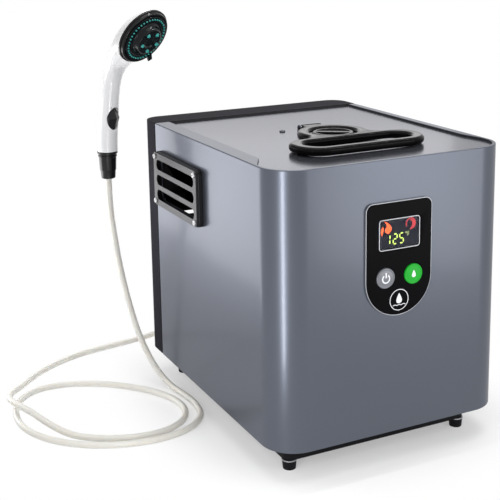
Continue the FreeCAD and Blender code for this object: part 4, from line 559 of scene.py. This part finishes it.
solid("badge", [stroke(arc(BADGE, BADGE_RADIUS, 0, 360, 72)[:-1], BADGE_LINE, on_panel, closed=True),
                drop((0.0, 195.4), 12.0, on_panel), stroke(flow(RIPPLE, 40), BADGE_LINE, on_panel)],
      white_ink, "control_panel")

# ------------------------------------------------------------------ push buttons
# Two round moulded caps with a shallow crown and a raised rim, grey with a power mark and green
# with a drop. A flange holds each behind the panel and a stem presses its switch on the board.
BUTTON_X, BUTTON_Z, CROWN_R, CROWN_TOP = 18.0, 221.0, 70.0, 1.5
# Radius and height, from the middle of the crown over the rim and the flange to the stem.
CAP_PROFILE = [(0.01, CROWN_TOP), (3.0, 1.44), (5.6, 1.28), (8.2, 1.02), (9.3, 0.86), (9.6, 0.92), (9.9, 1.22),
               (10.3, 1.42), (10.8, 1.42), (11.2, 1.2), (11.45, 0.7), (11.5, 0.0), (11.5, -11.8), (12.9, -11.8),
               (12.9, -13.0), (2.5, -13.0), (2.5, -14.0), (0.01, -14.0)]


def turned(profile, foot, axis, steps=96, swell=None, closed=False):
    """Surface of revolution: each (radius, height) pair of the profile goes round the axis through foot.
    swell multiplies the radii, rows by steps."""
    profile = np.asarray(profile, float)
    axis = Vector(axis).normalized()
    upright = abs(axis.z) > 0.9
    start = (axis.orthogonal() if upright else Vector((0, 0, 1)).cross(axis)).normalized()
    other = axis.cross(start)
    turn = np.linspace(0.0, 2 * np.pi, steps, endpoint=False)
    radius = profile[:, :1] * (np.ones(steps) if swell is None else swell)
    ring = np.cos(turn)[:, None] * np.array(start) + np.sin(turn)[:, None] * np.array(other)
    grid = np.array(foot) + radius[..., None] * ring + profile[:, 1, None, None] * np.array(axis)
    return skin(grid, closed=closed)


def on_cap(x):
    """Places on the crown of the cap at x: a mark sinks with the square of its distance from the middle."""
    def place(across, up, lift):
        depth = CROWN_TOP - (across ** 2 + up ** 2) / (2 * CROWN_R)
        return np.stack((across + x, PANEL_FACE - depth - lift, up + BUTTON_Z), -1)
    return place


cap_grey = moulded("cap_grey", (0.140, 0.146, 0.165), 0.34, Coat_Weight=0.2, Metallic=0.25)
cap_green = moulded("cap_green", (0.004, 0.34, 0.018), 0.38, Specular_IOR_Level=0.25)
for node, finish, slot, x in (("power_button", cap_grey, "button_grey", -BUTTON_X),
                              ("start_button", cap_green, "button_green", BUTTON_X)):
    cap_skin = turned(CAP_PROFILE, (x, PANEL_FACE, BUTTON_Z), (0, -1, 0))
    solid(node + "_cap", [cap_skin], finish, node, (node,))
MARK_LINE = 1.6
solid("power_mark", [stroke(arc((0, -0.6), 4.5, 125, 415), MARK_LINE, on_cap(-BUTTON_X)),
                     stroke([(0, 0.4), (0, 2.8), (0, 6.2)], MARK_LINE, on_cap(-BUTTON_X))],
      white_ink, "power_button")
solid("start_mark", [drop((0, 0.2), 8.4, on_cap(BUTTON_X))], white_ink, "start_button")
board_green = moulded("board_green", (0.010, 0.105, 0.040), 0.35, 300.0, 0.00003)
coat(board_green, "control_board")

# ------------------------------------------------------------------ exhaust grille
# Black moulded frame that stands the brushed steel plate off the left wall. Three long slots let the
# hot gas out of the dark hood behind them, and a bright pan-head screw holds each corner.
frame_plastic = moulded("frame_plastic", (0.0050, 0.0050, 0.0056), 0.33, Specular_IOR_Level=0.3)
dressed("vent_frame", frame_plastic, 0.9, segments=3)
brushed_plate = rolled_sheet("brushed_plate", (0.060, 0.060, 0.064), 0.34, (1.0, 0.7, 70.0), 60.0)
dressed("vent_plate", brushed_plate, 0.35)
dressed("vent_screws", screw_steel, 0.0)
dark_steel = rolled_sheet("dark_steel", (0.030, 0.030, 0.032), 0.5, (8.0, 1.0, 8.0))
coat(dark_steel, "exhaust_hood")

# ------------------------------------------------------------------ folding handle and its lock
# Glossy black handle: finger loop, ring and hinge barrel in one moulding. The turn-lock on its post is
# a satin disc with a finger bar. A painted steel bracket, screwed under the plate, holds the hinge pin.
handle_black = moulded("handle_black", (0.0030, 0.0030, 0.0034), 0.10, 500.0, 0.000006,
                       Specular_IOR_Level=0.07)
dressed("carry_handle", handle_black, 0.3)
knob_black = moulded("knob_black", (0.0045, 0.0045, 0.0050), 0.28, Specular_IOR_Level=0.22)
dressed("lock_knob", knob_black, 0.35)
coat(bright_plate, "lock_post")
coat(dark_steel, "hinge_pin")
coat(top_lit_plate_paint, "hinge_bracket")
dressed("bracket_screws", top_lit_plate_paint, 0.0)

# ------------------------------------------------------------------ water and gas fittings
# Brass stubs through the rear cover: a thread cut on each, a hexagon seated on the cover and another
# behind it. The hose is held on the middle one by a black nut with cut ribs.
REAR, FITTING_Z = 192.0, 78.0
THREAD_PITCH, THREAD_DEPTH = 1.8, 0.9
THREAD_FOOT, THREAD_TOP, THREAD_ROWS = 5.6, 17.0, 58
HEXAGON_RIM = 3.6    # from the thread's crest to a corner of the hexagon
brass = plated("machined_brass", (0.72, 0.50, 0.20), 0.22)


def stub(node, x, crest, bore):
    """Threaded stub. The thread is a helix: the radius falls by the depth as a smooth wave of height and
    turn. The hexagons' radius is that of a straight side: corner x cos 30 / cos(angle from mid-side)."""
    steps = 72
    turn = np.linspace(0.0, 2 * np.pi, steps, endpoint=False)
    corner = crest + HEXAGON_RIM
    side = corner * math.cos(math.radians(30)) / np.cos(np.mod(turn, math.pi / 3) - math.pi / 6)
    height = np.linspace(THREAD_FOOT, THREAD_TOP, THREAD_ROWS)
    wave = 0.5 + 0.5 * np.cos(2 * np.pi * (height[:, None] / THREAD_PITCH) - turn)
    thread = np.stack((np.full(THREAD_ROWS, crest), height), 1)
    inner = [(bore, -12.0), (bore, 17.4), (bore + 0.6, 18.0), (crest - 1.6, 18.0), (crest - 0.9, 17.4)]
    outer = [(corner - 0.6, 5.0), (corner, 4.4), (corner, 0.0), (crest, 0.0), (crest, -1.2), (corner, -1.2),
             (corner, -6.2), (crest, -6.2), (crest, -16.0), (0.01, -16.0), (0.01, -12.0)]
    profile = np.vstack((inner, thread[::-1], outer))
    swell = np.ones((len(profile), steps))
    threaded = slice(len(inner), len(inner) + THREAD_ROWS)
    swell[threaded] = 1.0 - THREAD_DEPTH * wave[::-1] / crest
    for row in (0, 1, 2, 5, 6):    # the rows of outer that lie on a hexagon
        swell[threaded.stop + row] = side / corner
    stub_skin = turned(profile, (x, REAR, FITTING_Z), (0, 1, 0), steps, swell, closed=True)
    solid(node + "_turned", [stub_skin], brass, node, (node,))


stub("water_inlet", -48.0, 10.4, 6.0)
stub("gas_inlet", 94.0, 8.0, 4.0)
coat(brass, "water_outlet")
NUT_X, NUT_RIBS, RIB_DEPTH, NUT_STEPS = 5.0, 24, 0.045, 240
NUT_PROFILE = [(10.6, 6.0), (13.0, 6.0), (13.8, 6.8), (13.8, 8.0), (13.8, 20.0), (13.8, 21.2), (13.0, 22.0),
               (9.8, 22.0), (9.4, 22.6), (6.4, 44.0), (5.6, 48.0), (0.01, 48.0), (0.01, 18.3), (10.6, 18.3)]
RIBBED_ROWS = slice(3, 5)
nut_turn = np.linspace(0.0, 2 * np.pi, NUT_STEPS, endpoint=False)
nut_swell = np.ones((len(NUT_PROFILE), NUT_STEPS))
nut_swell[RIBBED_ROWS] = 1.0 - RIB_DEPTH * (0.5 + 0.5 * np.cos(nut_turn * NUT_RIBS)) ** 2
nut_black = moulded("nut_black", (0.012, 0.012, 0.013), 0.42)
nut_skin = turned(NUT_PROFILE, (NUT_X, REAR, FITTING_Z), (0, 1, 0), NUT_STEPS, nut_swell, closed=True)
solid("hose_nut_ribbed", [nut_skin], nut_black, "hose_nut", ("hose_nut",))

# ------------------------------------------------------------------ charging socket
# Moulded low-voltage socket, set into the rear cover. A rubber cap closes it and swings up on
# two lugs beside it.
dressed("charge_socket", nut_black, 0.3)
dressed("socket_cap", foot_rubber, 0.5)

# ------------------------------------------------------------------ burner and heat exchanger
# Zinc-plated tray and chamber round stainless burner bars, with a brass valve and manifold; copper
# fins and water tube above them, a ceramic igniter and a clip-on cutout.
coat(zinc, "burner_tray", "combustion_chamber")
coat(brass, "gas_manifold", "gas_valve")
burner_steel = rolled_sheet("burner_steel", (0.50, 0.49, 0.47), 0.32, (1.0, 8.0, 1.0))
coat(burner_steel, "burner_bars", "thermal_cutout")
copper = plated("copper", (0.73, 0.34, 0.19), 0.26)
coat(copper, "exchanger_fins", "exchanger_tube", "gas_pipe", "cold_pipe", "hot_pipe")
ceramic = moulded("ceramic_white", (0.78, 0.77, 0.73), 0.40)
coat(ceramic, "igniter")

# ------------------------------------------------------------------ pump, meter, battery and spark box
# Moulded grey pump and flow meter with white rotors, joined by a pipe of the shower hose's silicone;
# film-wrapped battery under a zinc-plated strap; black ignition box on the pan.
pump_grey = moulded("pump_grey", (0.10, 0.105, 0.115), 0.45)
coat(pump_grey, "water_pump", "flow_sensor")
coat(ceramic, "flow_rotor", "pump_impeller")
battery_film = moulded("battery_film", (0.012, 0.028, 0.075), 0.30, Coat_Weight=0.4)
coat(battery_film, "battery_pack")
coat(zinc, "battery_strap")
coat(nut_black, "spark_module")

# ------------------------------------------------------------------ hand shower
# White moulded shell, one sweep from handle to round head; a black two-step rim holds the turning
# spray face, a raised boss inside a ring of soft teal nozzles. An oval pad on the handle starts the flow.
HANDLE_FOOT = np.array([-204.5, 177.0, 315.7])
HANDSET_TURN, FACE_TILT = math.radians(24.0), math.radians(30.0)
FACE_AHEAD, FACE_UP = 78.0, 150.0
AHEAD = np.array([math.sin(HANDSET_TURN), -math.cos(HANDSET_TURN), 0.0])
UPWARD = np.array([0.0, 0.0, 1.0])
FACE_AXIS = AHEAD * math.cos(FACE_TILT) - UPWARD * math.sin(FACE_TILT)
FACE_CENTRE = HANDLE_FOOT + AHEAD * FACE_AHEAD + UPWARD * FACE_UP
shell_white = moulded("shell_white", (0.74, 0.74, 0.75), 0.20, 900.0, 0.000003, Coat_Weight=0.4,
                      Coat_Roughness=0.06)
dressed("handset_shell", shell_white, 0.5, corner=40.0)
rim_black = moulded("rim_black", (0.0030, 0.0028, 0.0034), 0.08, 500.0, 0.000003, Specular_IOR_Level=0.3)
ROUND_STEPS = 144
RIM_PROFILE = [(37.2, -6.0), (37.2, -4.4), (36.9, -3.8), (36.3, -3.5), (35.5, -3.5), (35.2, -3.1), (35.1, -1.0),
               (34.7, -0.35), (34.0, 0.0), (32.6, 0.0), (31.9, -0.3), (31.6, -0.9), (31.6, -3.6), (0.01, -3.6),
               (0.01, -6.0)]
solid("rim_turned", [turned(RIM_PROFILE, FACE_CENTRE, FACE_AXIS, ROUND_STEPS)], rim_black,
      "spray_bezel", ("spray_bezel",))
teal_black = moulded("teal_black", (0.0040, 0.0060, 0.0070), 0.10, 500.0, 0.000004, Specular_IOR_Level=0.18)
FACE_PROFILE = [(0.01, -3.4), (31.2, -3.4), (31.2, 0.0), (30.9, 0.7), (30.2, 1.0), (25.2, 1.0), (24.7, 0.8),
                (24.3, 0.3), (23.4, 0.1), (21.4, 0.4), (19.8, 1.6), (18.8, 4.0), (18.0, 7.2), (17.4, 8.4),
                (16.6, 8.9), (15.4, 9.1), (9.4, 9.0), (8.6, 8.7), (7.6, 7.6), (6.0, 7.0), (0.01, 7.4)]
FACE_DOWN = -UPWARD - FACE_AXIS * math.sin(FACE_TILT)
FACE_DOWN /= np.linalg.norm(FACE_DOWN)
FACE_SIDE = np.cross(FACE_DOWN, FACE_AXIS)
TAB_TURN = math.radians(-32.0)
# The selector tab: three layers of four corners, each across, out and ahead from the face's middle.
tab_out = FACE_DOWN * math.cos(TAB_TURN) + FACE_SIDE * math.sin(TAB_TURN)
tab_side = FACE_SIDE * math.cos(TAB_TURN) - FACE_DOWN * math.sin(TAB_TURN)
tab = np.array([[(-3.5, 29.5, 0.6), (3.5, 29.5, 0.6), (3.0, 38.4, 0.6), (-3.0, 38.4, 0.6)],
                [(-3.5, 29.5, 2.9), (3.5, 29.5, 2.9), (3.0, 38.4, 2.9), (-3.0, 38.4, 2.9)],
                [(-2.9, 29.5, 3.5), (2.9, 29.5, 3.5), (2.5, 37.8, 3.5), (-2.5, 37.8, 3.5)]])
tab_grid = FACE_CENTRE + tab[..., :1] * tab_side + tab[..., 1:2] * tab_out + tab[..., 2:] * FACE_AXIS
solid("spray_face_turned", [turned(FACE_PROFILE, FACE_CENTRE, FACE_AXIS, ROUND_STEPS), skin(tab_grid)],
      teal_black, "spray_face", ("spray_face",))
teal = moulded("teal_rubber", (0.020, 0.34, 0.31), 0.35, Coat_Weight=0.3)
dressed("spray_nozzles", teal, 0.3)
pad_black = moulded("pad_black", (0.006, 0.006, 0.007), 0.30, Specular_IOR_Level=0.3)
dressed("flow_button", pad_black, 0.5, corner=20.0)

# ------------------------------------------------------------------ collar and shower hose
# Black collar screwed on the handle's foot, with a wide flange and ten shallow flats; the milky
# silicone hose runs from it to the floor, lies in two loops and climbs to the middle fitting.
COLLAR_FLATS, FLAT_DEPTH, COLLAR_STEPS = 10, 0.035, 96
COLLAR_PROFILE = [(0.01, 0.0), (12.6, 0.0), (13.2, -0.6), (13.2, -2.6), (12.7, -3.2), (11.6, -3.4),
                  (11.3, -3.9), (11.4, -4.6), (12.2, -5.2), (12.2, -6.8), (11.7, -7.6), (10.9, -24.0),
                  (10.7, -25.0), (10.1, -26.0), (9.6, -33.6), (9.1, -35.4), (8.2, -36.0), (0.01, -36.0)]
FLAT_ROWS = slice(10, 15)
collar_turn = np.linspace(0.0, 2 * np.pi, COLLAR_STEPS, endpoint=False)
collar_swell = np.ones((len(COLLAR_PROFILE), COLLAR_STEPS))
collar_swell[FLAT_ROWS] = 1.0 - FLAT_DEPTH * np.abs(np.cos(collar_turn * COLLAR_FLATS / 2)) ** 0.5
collar_black = moulded("collar_black", (0.0060, 0.0060, 0.0068), 0.30, Specular_IOR_Level=0.3)
collar_skin = turned(COLLAR_PROFILE, HANDLE_FOOT, (0, 0, 1), COLLAR_STEPS, collar_swell)
collar = solid("collar_turned", [collar_skin], collar_black, "hose_collar", ("hose_collar",))
HOSE_RADIUS, HOSE_LENGTH = 0.004, 1.841
# Control points from the middle fitting round the two loops to the collar, metres.
HOSE_ROUTE = [
    (0.005, 0.24, 0.078), (0.005, 0.268, 0.078), (0.002, 0.292, 0.07), (-0.008, 0.31, 0.05),
    (-0.029, 0.319, 0.027), (-0.058, 0.315, 0.009), (-0.097, 0.3, 0.0042), (-0.14, 0.289, 0.0042),
    (-0.1837, 0.283, 0.0042), (-0.2264, 0.2753, 0.0042), (-0.2671, 0.2575, 0.0042), (-0.3037, 0.2312, 0.0042),
    (-0.3325, 0.1969, 0.006), (-0.353, 0.1637, 0.015), (-0.3626, 0.1327, 0.0205), (-0.3463, 0.0869, 0.0205),
    (-0.3316, 0.0591, 0.012), (-0.3122, 0.0321, 0.0046), (-0.2826, 0.0081, 0.0042), (-0.2453, -0.0075, 0.0042),
    (-0.2091, -0.0097, 0.0042), (-0.1781, 0.0063, 0.0042), (-0.162, 0.0348, 0.0042), (-0.1626, 0.0691, 0.0042),
    (-0.1768, 0.1035, 0.0042), (-0.2008, 0.1351, 0.0042), (-0.2344, 0.164, 0.0042), (-0.2747, 0.1833, 0.0042),
    (-0.3147, 0.1846, 0.0042), (-0.3445, 0.1601, 0.0042), (-0.3585, 0.1211, 0.0042), (-0.3588, 0.0783, 0.0042),
    (-0.3415, 0.0372, 0.0042), (-0.3088, 0.0035, 0.0042), (-0.2656, -0.0188, 0.0042), (-0.2186, -0.0258, 0.0042),
    (-0.1768, -0.0157, 0.0042), (-0.1509, 0.0108, 0.0042), (-0.1446, 0.0451, 0.0042), (-0.1471, 0.0785, 0.0042),
    (-0.1536, 0.1099, 0.0048), (-0.1655, 0.1342, 0.024), (-0.1788, 0.1536, 0.063), (-0.1878, 0.1678, 0.112),
    (-0.1952, 0.1748, 0.16), (-0.2006, 0.177, 0.206), (-0.2045, 0.177, 0.245), (-0.2045, 0.177, 0.2797),
]
MILK, CREAM = (0.89, 0.875, 0.83), (0.84, 0.82, 0.755)
hose_silicone = Finish("hose_silicone", MILK, Roughness=0.32, Transmission_Weight=0.25, IOR=1.41,
                       Subsurface_Weight=0.35, Subsurface_Radius=(0.006, 0.005, 0.004))
hose_silicone.set(Base_Color=hose_silicone.where.noise(25.0).blend(CREAM, MILK))
hose_line = bpy.data.curves.new("hose_line", "CURVE")
hose_line.dimensions, hose_line.bevel_depth, hose_line.bevel_resolution = "3D", HOSE_RADIUS, 6
hose_line.resolution_u, hose_line.use_fill_caps = 12, True
route = hose_line.splines.new("NURBS")
route.points.add(len(HOSE_ROUTE) - 1)
route.points.foreach_set("co", [value for place in HOSE_ROUTE for value in (*place, 1.0)])
route.order_u, route.use_endpoint_u = 3, True
hose = bpy.data.objects.new("shower_hose_line", hose_line)
scene.collection.objects.link(hose)
hose_line.materials.append(hose_silicone.material)
coat(hose_silicone, "pump_pipe")
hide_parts("shower_hose")
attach(hose, frame["nodes"]["shower_hose"]["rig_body"])
